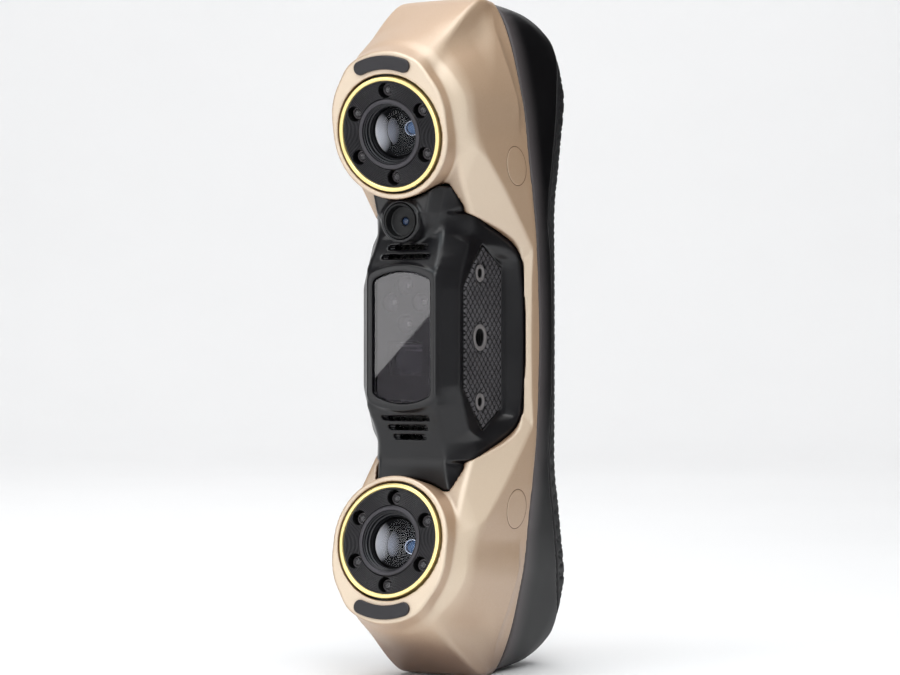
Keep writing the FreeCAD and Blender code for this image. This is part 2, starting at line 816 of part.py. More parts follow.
def side_plugs():
    return fuse(*[
        cut(
            cylinder(dim("plug_rad"), 0.9, at_plug(22.75, side, end), TO_SIDE[side]),
            cylinder(1.2, 0.6, at_plug(22.6, side, end), TO_SIDE[side]),
        )
        for side, end in CORNERS
    ])


# ---------------------------------------------------------------- camera modules
# Built in camera coordinates, heights measured from the flange plane.
LAMP_COUNT = 6


def polar(radius, degrees, x=0.0, y=0.0):
    angle = math.radians(degrees)
    return x + radius * math.cos(angle), y + radius * math.sin(angle)


def trim_ring():
    inner, outer, top = dim("trim_in"), dim("trim_out"), dim("trim_proud")
    return revolve([
        (inner, top - 0.35), (inner + 0.35, top), (outer - 0.4, top),
        (outer, top - 0.5), (outer, -3.1), (inner, -3.1),
    ])


def camera_bezel():
    inner, lip, outer = dim("bezel_in"), dim("bezel_lip"), dim("bezel_out")
    foot = dim("bore_rad") - 0.1
    body = revolve([
        (inner, 0.1), (inner + 0.25, 0.3), (lip - 0.25, 0.3), (lip, 0.05), (lip + 0.1, -0.15),
        (outer - 0.2, -0.15), (outer, -0.35), (outer, -3.15),
        (foot, -3.15), (foot, -5.0), (inner, -5.0),
    ])
    sketch = sketch_on(body)
    circle(sketch, dim("led_hole"), 0, dim("led_pitch"))
    hole = pocket_through(body, sketch)
    pattern = body.newObject("PartDesign::PolarPattern", "pattern")
    pattern.Originals = [hole]
    pattern.Axis = (origin_feature(body, "Z_Axis"), [""])
    pattern.Angle = 360.0
    pattern.Occurrences = LAMP_COUNT
    body.Tip = pattern
    doc.recompute()
    return body


def lamp_board():
    inner, outer = dim("bezel_in") + 0.2, dim("bezel_out") - 0.2
    return revolve([(inner, -5.05), (outer, -5.05), (outer, -6.2), (inner, -6.2)])


def lamps():
    """Ring of domed lamps on square bases."""
    pieces = []
    for i in range(LAMP_COUNT):
        x, y = polar(SIZE["led_pitch"], 90 + 360 / LAMP_COUNT * i)
        base = box(3.0, 3.0, 0.9, (x, y, -4.55))
        dome = doc.addObject("Part::Sphere", "dome")
        bind(dome, "Radius", dim("led_rad"))
        dome.Placement.Base = V(x, y, -2.95)
        pieces.append(fuse(base, cylinder(dim("led_rad"), 1.4, (x, y, -4.35)), dome))
    return fuse(*pieces)


def lens_barrel():
    outer = dim("barrel_out")
    rear = -dim("barrel_len") - 0.5
    seat = dim("glass_rad") + 0.03
    return revolve([
        (8.6, -0.5), (outer, -0.5), (outer, rear), (6.0, rear), (6.0, -14.2), (1.7, -13.9),
        (1.7, -13.2), (3.6, -12.4), (4.6, -10.3), (5.2, -10.3), (5.2, -8.1), (6.5, -7.9),
        (6.5, -6.9), (seat, -6.9), (seat, -4.3), (7.25, -4.2),
    ])


def front_lens():
    edge = dim("glass_rad")
    return revolve([
        (0, -4.0), (2.6, -4.1), (5.0, -4.5), (edge, -5.1), (edge, -6.85), (0, -6.85),
    ])


def inner_lens():
    return revolve([
        (0, -8.3), (2.0, -8.4), (3.8, -8.7), (5.15, -9.2),
        (5.15, -10.25), (4.5, -10.25), (2.4, -9.9), (0, -9.8),
    ])


def sensor_board():
    hole = 8.8
    holes = [(1.0, x, y) for y in (hole, -hole) for x in (hole, -hole)]
    return place(plate(21.0, 21.0, dim("board_t"), holes), (0, 0, -20.15))


def image_sensor():
    return box(10.4, 8.6, 1.6, (0, 0, -18.1))


def camera_mount(end):
    """Clamp block round the barrel, with cheeks that reach back to the optical bench."""
    bore = cylinder(dim("barrel_out") + 0.03, 30, (0, 0, -25))
    block = cut(box(21.6, 21.6, 9.6, (0, 0, -14.1)), bore)
    cheeks = fuse(*[box(2.4, 15.0, 34.0, (x, 0, -26.3)) for x in (11.9, -11.9)])
    return cut(on_camera(fuse(block, cheeks), end), half_space((0, 1, 0), -9.0))


def bumper(end):
    """Arc-shaped pad with rounded ends around the outer end of the flange."""
    steps = 12
    inner, outer = SIZE["pad_in"], SIZE["pad_out"]
    half = SIZE["pad_angle"] / 2
    angles = [90 - half + 2 * half * i / steps for i in range(steps + 1)]

    def cap(at, start):
        centre = polar((inner + outer) / 2, at)
        return [polar((outer - inner) / 2, start + 30 * k, *centre) for k in range(1, 6)]

    ring = [polar(outer, a) for a in angles]
    ring += cap(90 + half, 90 + half)
    ring += [polar(inner, a) for a in reversed(angles)]
    ring += cap(90 - half, 270 - half)
    if end < 0:
        ring.reverse()
    body = new_body()
    sketch = sketch_on(body)
    outline(sketch, [(x, y * end) for x, y in ring])
    lift = 0.02
    pad(body, sketch, dim("pad_proud") - lift)
    return on_camera(place(body, (0, 0, lift)), end)


# ---------------------------------------------------------------- colour camera
def at_rgb(part):
    return place(part, (0, dim("rgb_y") - 0.25, dim("rgb_z")), TO_FRONT)


def rgb_bezel():
    radius = dim("rgb_rad")
    return at_rgb(revolve([
        (radius, 0.0), (radius + 0.65, 0.0), (radius + 0.8, -0.2), (radius + 0.8, -5.2),
        (2.6, -5.2), (2.6, -3.4), (3.0, -3.0), (radius - 0.4, -2.6),
    ]))


def rgb_lens():
    return at_rgb(revolve([
        (0, -3.3), (1.3, -3.5), (2.2, -3.9), (2.55, -4.2), (2.55, -5.0), (0, -5.0),
    ]))


def rgb_camera_module():
    return fuse(
        cylinder(4.4, 3.0, (0, dim("rgb_y") + 8.0, dim("rgb_z")), TO_FRONT),
        box(8.5, 4.6, 8.5, (0, dim("rgb_y") + 10.3, dim("rgb_z"))),
    )


# ---------------------------------------------------------------- projector window
FILL_LAMPS = [(0.0, 15.3), (-5.1, 10.3), (5.1, 10.3), (0.0, 4.0)]  # (x, z)
PROJECTOR_Z = -6.4


def behind_nose(distance, x=0, z=0):
    """Point at a distance behind the front plane of the centre housing."""
    return x, dim("nose_y") + distance, z


def projector_window():
    y = dim("nose_y")
    radius = dim("win_z") / 2 + 0.5
    return arched_block(dim("win_w"), dim("win_t") - 0.05, y + 1.15, radius, 3.0, y + 2.2)


def window_mask():
    return cut(
        box(dim("win_w") + 0.2, 1.2, 37.0, behind_nose(3.4)),
        *[cylinder(2.8, 3, behind_nose(4.9, x, z), TO_FRONT) for x, z in FILL_LAMPS],
        box(11.6, 3.0, 9.8, behind_nose(3.4, 0, -6.15)),
    )


def fill_lamps():
    return fuse(*[
        cut(
            cylinder(2.75, 2.2, behind_nose(5.2, x, z), TO_FRONT),
            cone(0.7, 2.5, 1.5, behind_nose(4.5, x, z), TO_FRONT),
        )
        for x, z in FILL_LAMPS
    ])


def fill_lamp_board():
    return box(16.0, dim("board_t"), 18.0, behind_nose(5.85, 0, 9.7))


def projector_body():
    return cut(
        box(13.4, 12.6, 13.0, (0, -18.0, -8.2)),
        box(11.4, 6.0, 9.4, (0, -22.4, PROJECTOR_Z)),
    )


def projector_lens():
    return cylinder(4.4, 4.4, (0, -19.5, PROJECTOR_Z), TO_FRONT)


def vent_mesh(rows, tilt, y, z):
    """Tilted plate behind the vent slots with rows of small round openings."""
    pitch = SIZE["vent_pitch"]
    holes = [
        (0.6, column * 2.2, (row - (rows - 1) / 2.0) * pitch)
        for row in range(rows)
        for column in range(-3, 4)
    ]
    mesh = plate(17.4, pitch * rows - 0.3, 0.5, holes)
    return place(mesh, (0, y, z), App.Rotation(V(1, 0, 0), 90 + tilt))


# ---------------------------------------------------------------- inside
BOARD_SCREWS = [(x, z) for x in (-8.5, 8.5) for z in (-64, -30, 30, 64)]


def at_board_screws(radius, length, y):
    return [cylinder(radius, length, (x, y, z), TO_BACK) for x, z in BOARD_SCREWS]


def optical_bench():
    y = -7.45
    bench = cut(
        box(23.0, 3.0, 156.0, (0, y, 0)),
        box(15.0, 6.0, 16.0, (0, y, -8.2)),
        box(14.0, 6.0, 12.0, (0, y, 46)),
        box(14.0, 6.0, 12.0, (0, y, -46)),
        box(8.0, 6.0, 46.8, (11.55, y, 0)),
    )
    standoffs = fuse(*at_board_screws(2.6, 3.4, -6.0))
    return cut(fuse(bench, standoffs), *at_board_screws(1.03, 8, -9.5))


def main_board():
    board = plate(24.0, 146.0, dim("board_t"), [(1.15, x, z) for x, z in BOARD_SCREWS])
    return place(board, (0, -2.55, 0), BOARD_TO_BACK)


def board_screws():
    shanks = at_board_screws(1.0, 5.0, -5.6)
    heads = at_board_screws(1.9, 1.3, -1.32)
    recesses = at_board_screws(0.9, 1.0, -0.7)
    return fuse(*[
        fuse(shank, cut(head, recess))
        for shank, head, recess in zip(shanks, heads, recesses)
    ])


def thermal_pad():
    return box(12.0, 0.9, 30.0, (0, -0.88, 0))


def heat_sink():
    fins = [box(1.1, 9.0, 40.0, (2.8 * i, 6.4, 0)) for i in range(-3, 4)]
    return fuse(box(18.0, 2.4, 40.0, (0, 0.8, 0)), *fins)


# ---------------------------------------------------------------- keys
def key(step, radius):
    radius = dim(radius)
    # heights measured from the key face
    body = revolve([
        (0, 0.0), (radius - 0.9, -0.15), (radius - 0.25, -0.45), (radius, -1.0),
        (radius, -2.15), (radius - 1.0, -2.15), (radius - 1.0, -4.7),
        (1.3, -4.7), (1.3, -5.75), (0, -5.75),
    ])
    return place(body, (0, dim("key_face"), dim("key_z") * step), TO_BACK)


def key_board():
    holes = [(1.2, x, z) for x in (-6.8, 6.8) for z in (-21.2, 21.2)]
    return place(plate(17.0, 46.0, dim("board_t"), holes), (0, 21.6, 0), BOARD_TO_BACK)


def key_switches():
    switches = []
    for step, _ in KEYS:
        z = dim("key_z") * step
        stem = cylinder(1.6, 2.55, (0, 25.0, z), TO_BACK)
        switches.append(fuse(box(6.0, 3.0, 6.0, (0, 24.35, z)), stem))
    return fuse(*switches)


def status_light():
    return status_box(3.9, 5.4, 1.0, 30.75)


# ---------------------------------------------------------------- lower end connector
def at_port(z):
    return 0, dim("port_y"), z


def port_bezel():
    return cut(
        box(dim("port_w") - 0.1, dim("port_h") - 0.1, 3.2, at_port(-99.85)),
        box(9.3, 3.5, 6.0, at_port(-99.85)),
    )


def usb_socket():
    shell = cut(box(9.0, 3.2, 8.0, at_port(-96.6)), box(8.3, 2.5, 7.0, at_port(-97.6)))
    return fuse(shell, box(6.6, 0.7, 7.2, at_port(-96.9)))


def port_board():
    return box(16.0, 1.2, 18.0, (0, dim("port_y") - 2.25, -85.0))


# ---------------------------------------------------------------- assembly
PARTS = []


def add_part(name, obj):
    obj.Label = name
    PARTS.append((name, obj))


casing_outside = envelope(0.0, -40.0)
add_part("front_casing", front_casing())
add_part("back_casing", back_casing(casing_outside))
add_part("rear_cover", rear_cover(casing_outside))
for build in (
    centre_housing, grip_pad_right, grip_pad_left, tripod_insert, accessory_inserts,
    insert_carrier, side_screws, side_plugs,
):
    add_part(build.__name__, build())

for tag, end in (("upper", 1), ("lower", -1)):
    for build in (
        trim_ring, camera_bezel, lamp_board, lamps, lens_barrel,
        front_lens, inner_lens, sensor_board, image_sensor,
    ):
        add_part(build.__name__ + "_" + tag, on_camera(build(), end))
    add_part("camera_mount_" + tag, camera_mount(end))
    add_part("bumper_" + tag, bumper(end))

add_part("vent_mesh_upper", vent_mesh(rows=2, tilt=-27.5, y=-21.85, z=24.9))
add_part("vent_mesh_lower", vent_mesh(rows=3, tilt=27.5, y=-21.25, z=-26.5))
add_part("start_key", key(*START_KEY))
add_part("plus_key", key(*PLUS_KEY))
add_part("minus_key", key(*MINUS_KEY))
for build in (
    rgb_bezel, rgb_lens, rgb_camera_module,
    projector_window, window_mask, fill_lamps, fill_lamp_board, projector_body, projector_lens,
    optical_bench, main_board, board_screws, thermal_pad, heat_sink,
    key_board, key_switches, status_light, port_bezel, usb_socket, port_board,
):
    add_part(build.__name__, build())

# ---------------------------------------------------------------- output
doc.recompute()
broken = [o.Label for o in doc.Objects if "Invalid" in o.State or "Error" in o.State]
if broken:
    raise SystemExit("features that failed: " + ", ".join(broken))
os.makedirs("parts", exist_ok=True)
for name, obj in PARTS:
    shape = obj.Shape
    if shape.isNull() or not shape.isValid() or shape.Volume <= 0:
        raise SystemExit("not a sound solid: " + name)
    shape.exportStep("parts/%s.step" % name)
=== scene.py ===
"""Handheld scanner standing on its lower end.

Z is up, the two camera pods, the window and the colour camera face -Y, the keys are on the +Y
back, and the grip pads are on the +X (right) and -X (left) sides. The casing is mirrored about
x = 0 and z = 0. The product is drawn in millimetres, the stage in metres.
"""
import json
import math

import bmesh
import bpy
import numpy as np
from mathutils import Matrix, Vector


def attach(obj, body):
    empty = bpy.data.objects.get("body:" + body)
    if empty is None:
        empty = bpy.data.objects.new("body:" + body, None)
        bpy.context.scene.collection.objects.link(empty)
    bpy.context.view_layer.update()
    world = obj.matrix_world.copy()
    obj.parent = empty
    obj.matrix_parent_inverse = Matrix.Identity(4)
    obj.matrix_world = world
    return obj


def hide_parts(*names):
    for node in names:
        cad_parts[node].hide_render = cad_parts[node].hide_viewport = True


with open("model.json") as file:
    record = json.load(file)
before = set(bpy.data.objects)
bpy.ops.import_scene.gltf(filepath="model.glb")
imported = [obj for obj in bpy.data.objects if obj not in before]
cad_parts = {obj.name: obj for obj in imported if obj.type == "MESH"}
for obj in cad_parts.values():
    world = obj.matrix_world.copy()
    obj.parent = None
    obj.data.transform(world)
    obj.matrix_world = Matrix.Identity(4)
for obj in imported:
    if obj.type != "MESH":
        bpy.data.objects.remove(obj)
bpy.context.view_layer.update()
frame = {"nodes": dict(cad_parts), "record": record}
BODY = "scanner_body"
MM = 0.001

# ------------------------------------------------------------------ driving sizes, mm
SHELL_STEP = 0.42    # grid steps of the implicit shapes
HOUSING_STEP = 0.32
PAD_STEP = 0.12
SHELL_X, SHELL_Z = 24.6, 102.4          # half extents of the casing grids
SEAM_GAP = 0.14                         # each part's set-back from the casing seam
COVER_GAP = 0.12                        # back casing's set-back from the rear cover

# camera pods: centre of the upper tilted face; the lower one mirrors it in z
LENS_Y, LENS_Z = -35.7, 58.98
FACE_TILT = math.radians(11.6)
FACE_OUT = (0.0, -math.cos(FACE_TILT), -math.sin(FACE_TILT))
FACE_UP = (0.0, -math.sin(FACE_TILT), math.cos(FACE_TILT))
POD_RADIUS, POD_DEPTH, POD_STRETCH = 19.2, 34.0, 4.2
LAMP_COUNT, LAMP_CIRCLE = 6, 12.75

END_SLOPE = math.radians(30.4)          # fall of the end ridges


def unit(*vector):
    return np.array(vector) / np.linalg.norm(vector)


FLANK_NORMAL = unit(0.838, -0.392, -0.381)
DECK_NORMAL = unit(0.0, -0.805, -0.593)

PLUG_Y, PLUG_Z, PLUG_RADIUS = -1.0, 51.0, 5.75
RGB_Z = 34.07                           # colour camera
WINDOW_FRONT, WINDOW_BACK = -28.15, -26.7
WINDOW_DROP = 0.5                       # arch centres lie this far past the middle
LAMP_SPOTS = ((0.0, 15.3), (-5.1, 10.3), (5.1, 10.3), (0.0, 4.0))   # x, z behind the window
VENT_Z, VENT_PITCH, VENT_WIDTHS = 23.7, 2.8, (16.2, 13.4, 11.0)
LATTICE_Y, LATTICE_Z = 2.62, 2.6        # diamond pitch of the grip pads

MOUNT_Y, MOUNT_FACE = -11.0, 16.55
MOUNTS = ((0.0, 4.0), (19.0, 2.6), (-19.0, 2.6))    # z, opening radius, right side

KEY_TOP = 34.0
KEY_GAP, KEY_REST = 0.2, 0.75           # gap in the cover, overlap on the casing below
# node, z, cap radius, icon bars (width, height); without bars the icon is a triangle
KEYS = (
    ("start_key", 0.0, 6.8, ()),
    ("plus_key", 15.0, 4.4, ((0.7, 3.0), (3.0, 0.7))),
    ("minus_key", -15.0, 4.4, ((3.0, 0.7),)),
)

# ------------------------------------------------------------------ outline tables, mm
# |z|, front half width (at y -27), then half width and y at the seam, the crease and the back
ENVELOPE = np.array([
    (0.0, 22.9, 23.3, 14.5, 21.8, 25.4, 19.6, 31.9),
    (13.5, 22.9, 23.4, 13.7, 21.8, 25.2, 19.6, 31.9),
    (26.0, 23.0, 23.8, 12.0, 22.0, 23.7, 19.6, 31.9),
    (36.0, 23.1, 24.0, 10.2, 22.2, 21.9, 19.6, 31.9),
    (43.0, 23.2, 24.0, 8.8, 22.3, 22.4, 19.6, 32.5),
    (50.0, 23.1, 23.6, 7.9, 22.2, 23.8, 19.6, 34.2),
    (58.0, 22.4, 22.9, 7.6, 21.9, 26.0, 19.6, 35.8),
    (64.0, 21.6, 22.3, 7.6, 21.5, 27.8, 19.6, 37.1),
    (69.0, 20.2, 21.6, 7.6, 21.0, 29.5, 19.5, 38.5),
    (75.5, 18.3, 20.3, 7.6, 20.0, 31.6, 19.1, 39.7),
    (81.5, 16.4, 19.1, 7.6, 19.0, 33.6, 18.3, 39.0),
    (87.3, 14.0, 17.8, 7.6, 17.7, 32.4, 17.0, 38.4),
    (91.0, 12.5, 16.7, 7.6, 16.6, 30.0, 15.8, 38.0),
    (95.5, 10.5, 15.0, 7.6, 14.8, 26.0, 13.5, 34.8),
    (99.0, 9.0, 12.9, 7.6, 12.5, 19.6, 11.0, 29.5),
    (101.5, 8.0, 10.5, 7.6, 10.0, 14.0, 8.0, 23.2),
])
# |z|, y of the joint between back casing and rear cover
COVER_JOINT = np.array([
    (0.0, 25.4), (13.5, 25.2), (26.0, 23.7), (36.0, 21.9), (43.0, 22.4),
    (58.0, 26.0), (73.3, 31.0), (84.5, 35.6), (93.0, 42.5), (104.0, 52.0),
])
# |z|, front face half width and y, y of the bevel end, flare start y, flared half width, its y
HOUSING = np.array([
    (0.0, 11.8, -28.6, -23.2, 2.6, 21.25, 6.75),
    (13.8, 11.8, -28.6, -23.2, 2.5, 21.15, 6.3),
    (19.5, 11.8, -28.6, -21.0, 2.3, 20.9, 5.8),
    (22.8, 11.7, -27.0, -19.6, 1.6, 20.7, 5.4),
    (25.2, 11.4, -25.6, -18.7, -4.4, 20.4, 4.4),
    (27.6, 11.1, -24.5, -17.8, -10.3, 19.8, 2.2),
    (31.0, 10.8, -23.4, -16.9, -12.2, 18.3, -3.4),
    (33.6, 10.9, -22.9, -17.2, -13.6, 17.1, -9.6),
    (36.0, 11.2, -22.6, -17.6, -14.9, 16.5, -14.4),
    (37.1, 11.3, -22.6, -17.8, -14.9, 14.4, -14.4),
    (40.5, 11.6, -22.4, -18.2, -14.9, 14.4, -14.4),
    (45.0, 12.4, -22.2, -18.8, -14.9, 14.4, -14.4),
])
# |z|, front limit (y) of the front casing where it frames the centre housing
CASING_RIM = np.array([
    (0.0, 7.0), (13.2, 6.6), (22.8, 6.0), (25.6, 4.9), (28.0, 2.7), (30.9, -2.3),
    (33.5, -8.7), (36.0, -16.2), (38.0, -22.0), (44.0, -40.0), (60.0, -90.0), (110.0, -250.0),
])


# ------------------------------------------------------------------ small maths
def pchip(xs, ys, x):
    """Monotone cubic interpolation, flat at the first station."""
    gap = np.diff(xs)
    rise = np.diff(ys) / gap
    slope = np.zeros_like(ys)
    for i in range(1, len(xs) - 1):
        if rise[i - 1] * rise[i] > 0:
            w1, w2 = 2 * gap[i] + gap[i - 1], gap[i] + 2 * gap[i - 1]
            slope[i] = (w1 + w2) / (w1 / rise[i - 1] + w2 / rise[i])
    slope[-1] = rise[-1]
    x = np.clip(x, xs[0], xs[-1])
    i = np.clip(np.searchsorted(xs, x) - 1, 0, len(xs) - 2)
    t = (x - xs[i]) / gap[i]
    t2, t3 = t * t, t * t * t
    return ((2 * t3 - 3 * t2 + 1) * ys[i] + (t3 - 2 * t2 + t) * gap[i] * slope[i]
            + (-2 * t3 + 3 * t2) * ys[i + 1] + (t3 - t2) * gap[i] * slope[i + 1])


def columns(table, at):
    """Every column of a station table, interpolated at the first column's values."""
    return [pchip(table[:, 0], table[:, k], at) for k in range(1, table.shape[1])]


def smax(a, b, blend):
    """Maximum with a rounded transition of the given width."""
    blend = np.maximum(blend, 1e-4)
    near = np.maximum(blend - np.abs(a - b), 0.0) / blend
    return np.maximum(a, b) + near * near * blend * 0.25


def smin(a, b, blend):
    return -smax(-a, -b, blend)


def ease(start, end, x):
    """Smooth 0 to 1 as x goes from start to end."""
    t = np.clip((x - start) / (end - start), 0.0, 1.0)
    return t * t * (3 - 2 * t)


def lattice(a, b):
    """0 in the middle of a diamond, 1 on the crossing lines; a and b are in pitches."""
    return np.maximum(*(np.abs(((a + sign * b) % 1.0) - 0.5) * 2 for sign in (1, -1)))


def span(sign, a, b):
    """The interval a..b, mirrored about zero for sign -1."""
    return sorted((sign * a, sign * b))


# ------------------------------------------------------------------ implicit shapes, mm
# negative inside
class Section:
    """Table columns worked out once for an array of heights."""

    def __init__(self, z):
        self.abs_z = np.abs(z)
        (self.front_x, self.seam_x, self.seam_y, self.crease_x, self.crease_y,
         self.back_x, self.back_y) = columns(ENVELOPE, self.abs_z)
        self.cover_y, = columns(COVER_JOINT, self.abs_z)


def cut(solid, tool, blend=None):
    if blend is None:
        return np.maximum(solid, -tool)
    return smax(solid, -tool, blend)


def cylinder(along, across_a, across_b, centre, radius, start, end):
    off = np.sqrt((across_a - centre[0]) ** 2 + (across_b - centre[1]) ** 2) - radius
    return np.maximum(np.maximum(off, start - along), along - end)


def box(x, y, z, xs, ys, zs, blend=0.4):
    d = smax(np.maximum(xs[0] - x, x - xs[1]), np.maximum(ys[0] - y, y - ys[1]), blend)
    return smax(d, np.maximum(zs[0] - z, z - zs[1]), blend)


def side_widths(section, y):
    """Half widths of the three side facets, front to back."""
    s = section
    front = s.front_x + (s.seam_x - s.front_x) * (y + 27.0) / (s.seam_y + 27.0)
    middle = s.seam_x + (s.crease_x - s.seam_x) * (y - s.seam_y) / (s.crease_y - s.seam_y)
    back = s.crease_x + (s.back_x - s.crease_x) * (y - s.crease_y) / (s.back_y - s.crease_y)
    return front, middle, back


def casing_envelope(x, y, section):
    """Whole casing without the front relief."""
    front, middle, back = side_widths(section, y)
    ax = np.abs(x)
    side = ax - smin(smin(front, middle, 0.6), back, 0.35)
    reach = np.clip(ax / np.maximum(section.back_x, 1.0), 0, 1.3)
    rear = y - (section.back_y + 1.4 * (1.0 - reach ** 2))
    return smax(smax(side, rear, 3.2), section.abs_z - 101.5, 3.0)


def pod_frame(y, z):
    """Distance up the tilted pod face and out of it, mirrored for the lower pod."""
    dy, dz = y - LENS_Y, np.abs(z) - LENS_Z
    return dy * FACE_UP[1] + dz * FACE_UP[2], dy * FACE_OUT[1] + dz * FACE_OUT[2]


def pod_wall(x, up):
    stretched = up - np.clip(up, 0.0, POD_STRETCH)
    return np.sqrt(x * x + stretched * stretched) - POD_RADIUS


def rim_gap(y, abs_z):
    """Distance in front of the casing rim."""
    probe = 0.2
    rim, = columns(CASING_RIM, abs_z)
    slope = (columns(CASING_RIM, abs_z + probe)[0] - rim) / probe
    return (rim - y) / np.sqrt(1 + slope * slope)


def front_surface(x, y, z, section):
    """Outside of the front casing: lobes, pods and end ridges."""
    ax, az = np.abs(x), section.abs_z
    envelope = casing_envelope(x, y, section)
    flank = ax * FLANK_NORMAL[0] + y * FLANK_NORMAL[1] + az * FLANK_NORMAL[2] - 6.45
    deck = y * DECK_NORMAL[1] + az * DECK_NORMAL[2] + 8.3
    slope = -math.sin(END_SLOPE) * (y + 40.4) + math.cos(END_SLOPE) * (az - 81.9)
    # broad rounding from the shoulder into the side, as in a pressed shell
    shoulder = 20.0 - 15.0 * ease(-14.0, 6.0, y)
    lobe = smax(envelope, slope + 4.05 - 0.06 * (shoulder - 5.0), shoulder)
    fade = flank - 0.42 * (az - 58.5)
    lobe = smax(lobe, smin(flank, fade, 2.5), 0.5 + 3.5 * ease(52.0, 62.0, az))
    lobe = smax(lobe, deck, 1.0)
    lobe = smax(lobe, rim_gap(y, az), 0.5)
    lobe = smax(lobe, -29.5 - y, 8.0)
    frame_y = 7.0 + 1.25 * np.clip((ax - 21.6) / 1.5, 0, 1)
    body = np.minimum(lobe, smax(envelope, frame_y - y, 0.6))
    # pod: round behind the tilted face
    up, out = pod_frame(y, z)
    pod = smax(pod_wall(x, up), -out - POD_DEPTH, 0.5)
    # end ridge: round like the pod in front, flat towards the seam
    flat = ease(-40.0, -10.0, y)
    arch = POD_RADIUS - np.sqrt(np.maximum(POD_RADIUS ** 2 - np.minimum(ax, 18.5) ** 2, 0.0))
    crown = arch * (1 - flat) + 0.004 * ax * ax * flat
    half_width = 13.0 + 0.9 * ease(-40, -7, y) - 1.6 * ease(-4, 8, y)
    ridge = smax(slope + crown * math.cos(END_SLOPE), ax - half_width, 1.3 + 1.5 * (1 - flat))
    ridge = np.maximum(ridge, 62.0 - az)
    fillet = 2.3 * ease(51.0, 57.0, az) + 9.0 * ease(56.0, 72.0, az)
    body = smin(body, pod, 0.9 + fillet * ease(-1.0, -9.0, out))
    body = smin(body, ridge, 3.0)
    body = smax(body, out, 0.8)
    return smax(body, az - 101.46, 2.2)


def housing_surface(x, y, z):
    ax, az = np.abs(x), np.abs(z)
    face_x, face_y, bevel_y, flare_y, wide_x, wide_y = columns(HOUSING, az)
    bevel_x = 16.5 - 2.1 * np.clip((az - 36.0) / 1.1, 0.0, 1.0)
    dx, dy = bevel_x - face_x, bevel_y - face_y
    bevel = ((ax - face_x) * dy - (y - face_y) * dx) / np.sqrt(dx * dx + dy * dy)
    lean = (wide_x - bevel_x) / np.maximum(wide_y - flare_y, 0.5)
    flare = (ax - bevel_x - (y - flare_y) * lean) / np.sqrt(1 + lean * lean)
    side = smin(ax - bevel_x, flare, 1.2)
    side = smax(side, ax - wide_x, 0.5)
    rounding = 0.8 + 4.5 * ease(27.0, 31.0, az) * ease(38.5, 36.0, az)
    return smax(smax(face_y - y, bevel, 0.9), side, rounding)


def pad_outline(y, z):
    """Hexagon of the grip pads in the YZ plane."""
    az = np.abs(z)
    d = np.maximum(-20.6 - y, y - 1.9)
    for corner_y, corner_z, normal in ((-20.6, 14.8, unit(-12.2, 10.4)),
                                       (1.9, 21.0, unit(6.0, 11.1))):
        d = np.maximum(d, (y - corner_y) * normal[0] + (az - corner_z) * normal[1])
    return d


# ------------------------------------------------------------------ mesh helpers
def shade_smooth(mesh):
    mesh.polygons.foreach_set("use_smooth", np.ones(len(mesh.polygons), bool))


def sharp_by_angle(mesh, degrees):
    bm = bmesh.new()
    bm.from_mesh(mesh)
    limit = math.radians(degrees)
    for e in bm.edges:
        e.smooth = (len(e.link_faces) != 2) or (e.calc_face_angle(0.0) < limit)
    for f in bm.faces:
        f.smooth = True
    bm.to_mesh(mesh)
    bm.free()


def bm_to_mesh(bm):
    mesh = bpy.data.meshes.new("mesh")
    bm.to_mesh(mesh)
    bm.free()
    return mesh


def plain_mesh(points, faces, scale=MM):
    mesh = bpy.data.meshes.new("mesh")
    mesh.from_pydata([tuple(float(c) * scale for c in p) for p in points], [], faces)
    mesh.update()
    return mesh


def oriented_mesh(points, faces, sharp=None, scale=MM):
    """Mesh with its normals made consistent and, if asked, sharp edges marked."""
    mesh = plain_mesh(points, faces, scale)
    bm = bmesh.new()
    bm.from_mesh(mesh)
    bmesh.ops.recalc_face_normals(bm, faces=bm.faces)
    bm.to_mesh(mesh)
    bm.free()
    if sharp:
        sharp_by_angle(mesh, sharp)
    return mesh


def quad_mesh(points, quads):
    """Large all-quad mesh from arrays."""
    mesh = bpy.data.meshes.new("mesh")
    mesh.vertices.add(len(points))
    mesh.vertices.foreach_set("co", (points * MM).astype(np.float32).ravel())
    mesh.loops.add(quads.size)
    mesh.loops.foreach_set("vertex_index", quads.astype(np.int32).ravel())
    mesh.polygons.add(len(quads))
    mesh.polygons.foreach_set("loop_start", np.arange(0, quads.size, 4, dtype=np.int32))
    mesh.update(calc_edges=True)
    shade_smooth(mesh)
    return mesh


def ring_faces(rings, size, start=0, closed=False):
    """Quads between successive rings of points."""
    faces = []
    for i in range(rings if closed else rings - 1):
        a, b = start + i * size, start + (i + 1) % rings * size
        for k in range(size):
            k2 = (k + 1) % size
            faces.append((a + k, a + k2, b + k2, b + k))
    return faces


def lathe(profile, segments=160, sharp=28):
    """Turn a closed (radius, height) outline about local Z."""
    points, faces, rings = [], [], []
    for r, z in profile:
        count = 1 if r < 1e-6 else segments
        rings.append(range(len(points), len(points) + count))
        for i in range(count):
            t = 2 * math.pi * i / segments
            points.append((r * math.cos(t), r * math.sin(t), z))
    for a, b in zip(rings, rings[1:] + rings[:1]):
        if len(a) == 1 and len(b) == 1:
            continue
        for k in range(segments):
            k2 = (k + 1) % segments
            if len(a) == 1:
                faces.append((a[0], b[k2], b[k]))
            elif len(b) == 1:
                faces.append((a[k], a[k2], b[0]))
            else:
                faces.append((a[k], a[k2], b[k2], b[k]))
    return oriented_mesh(points, faces, sharp)


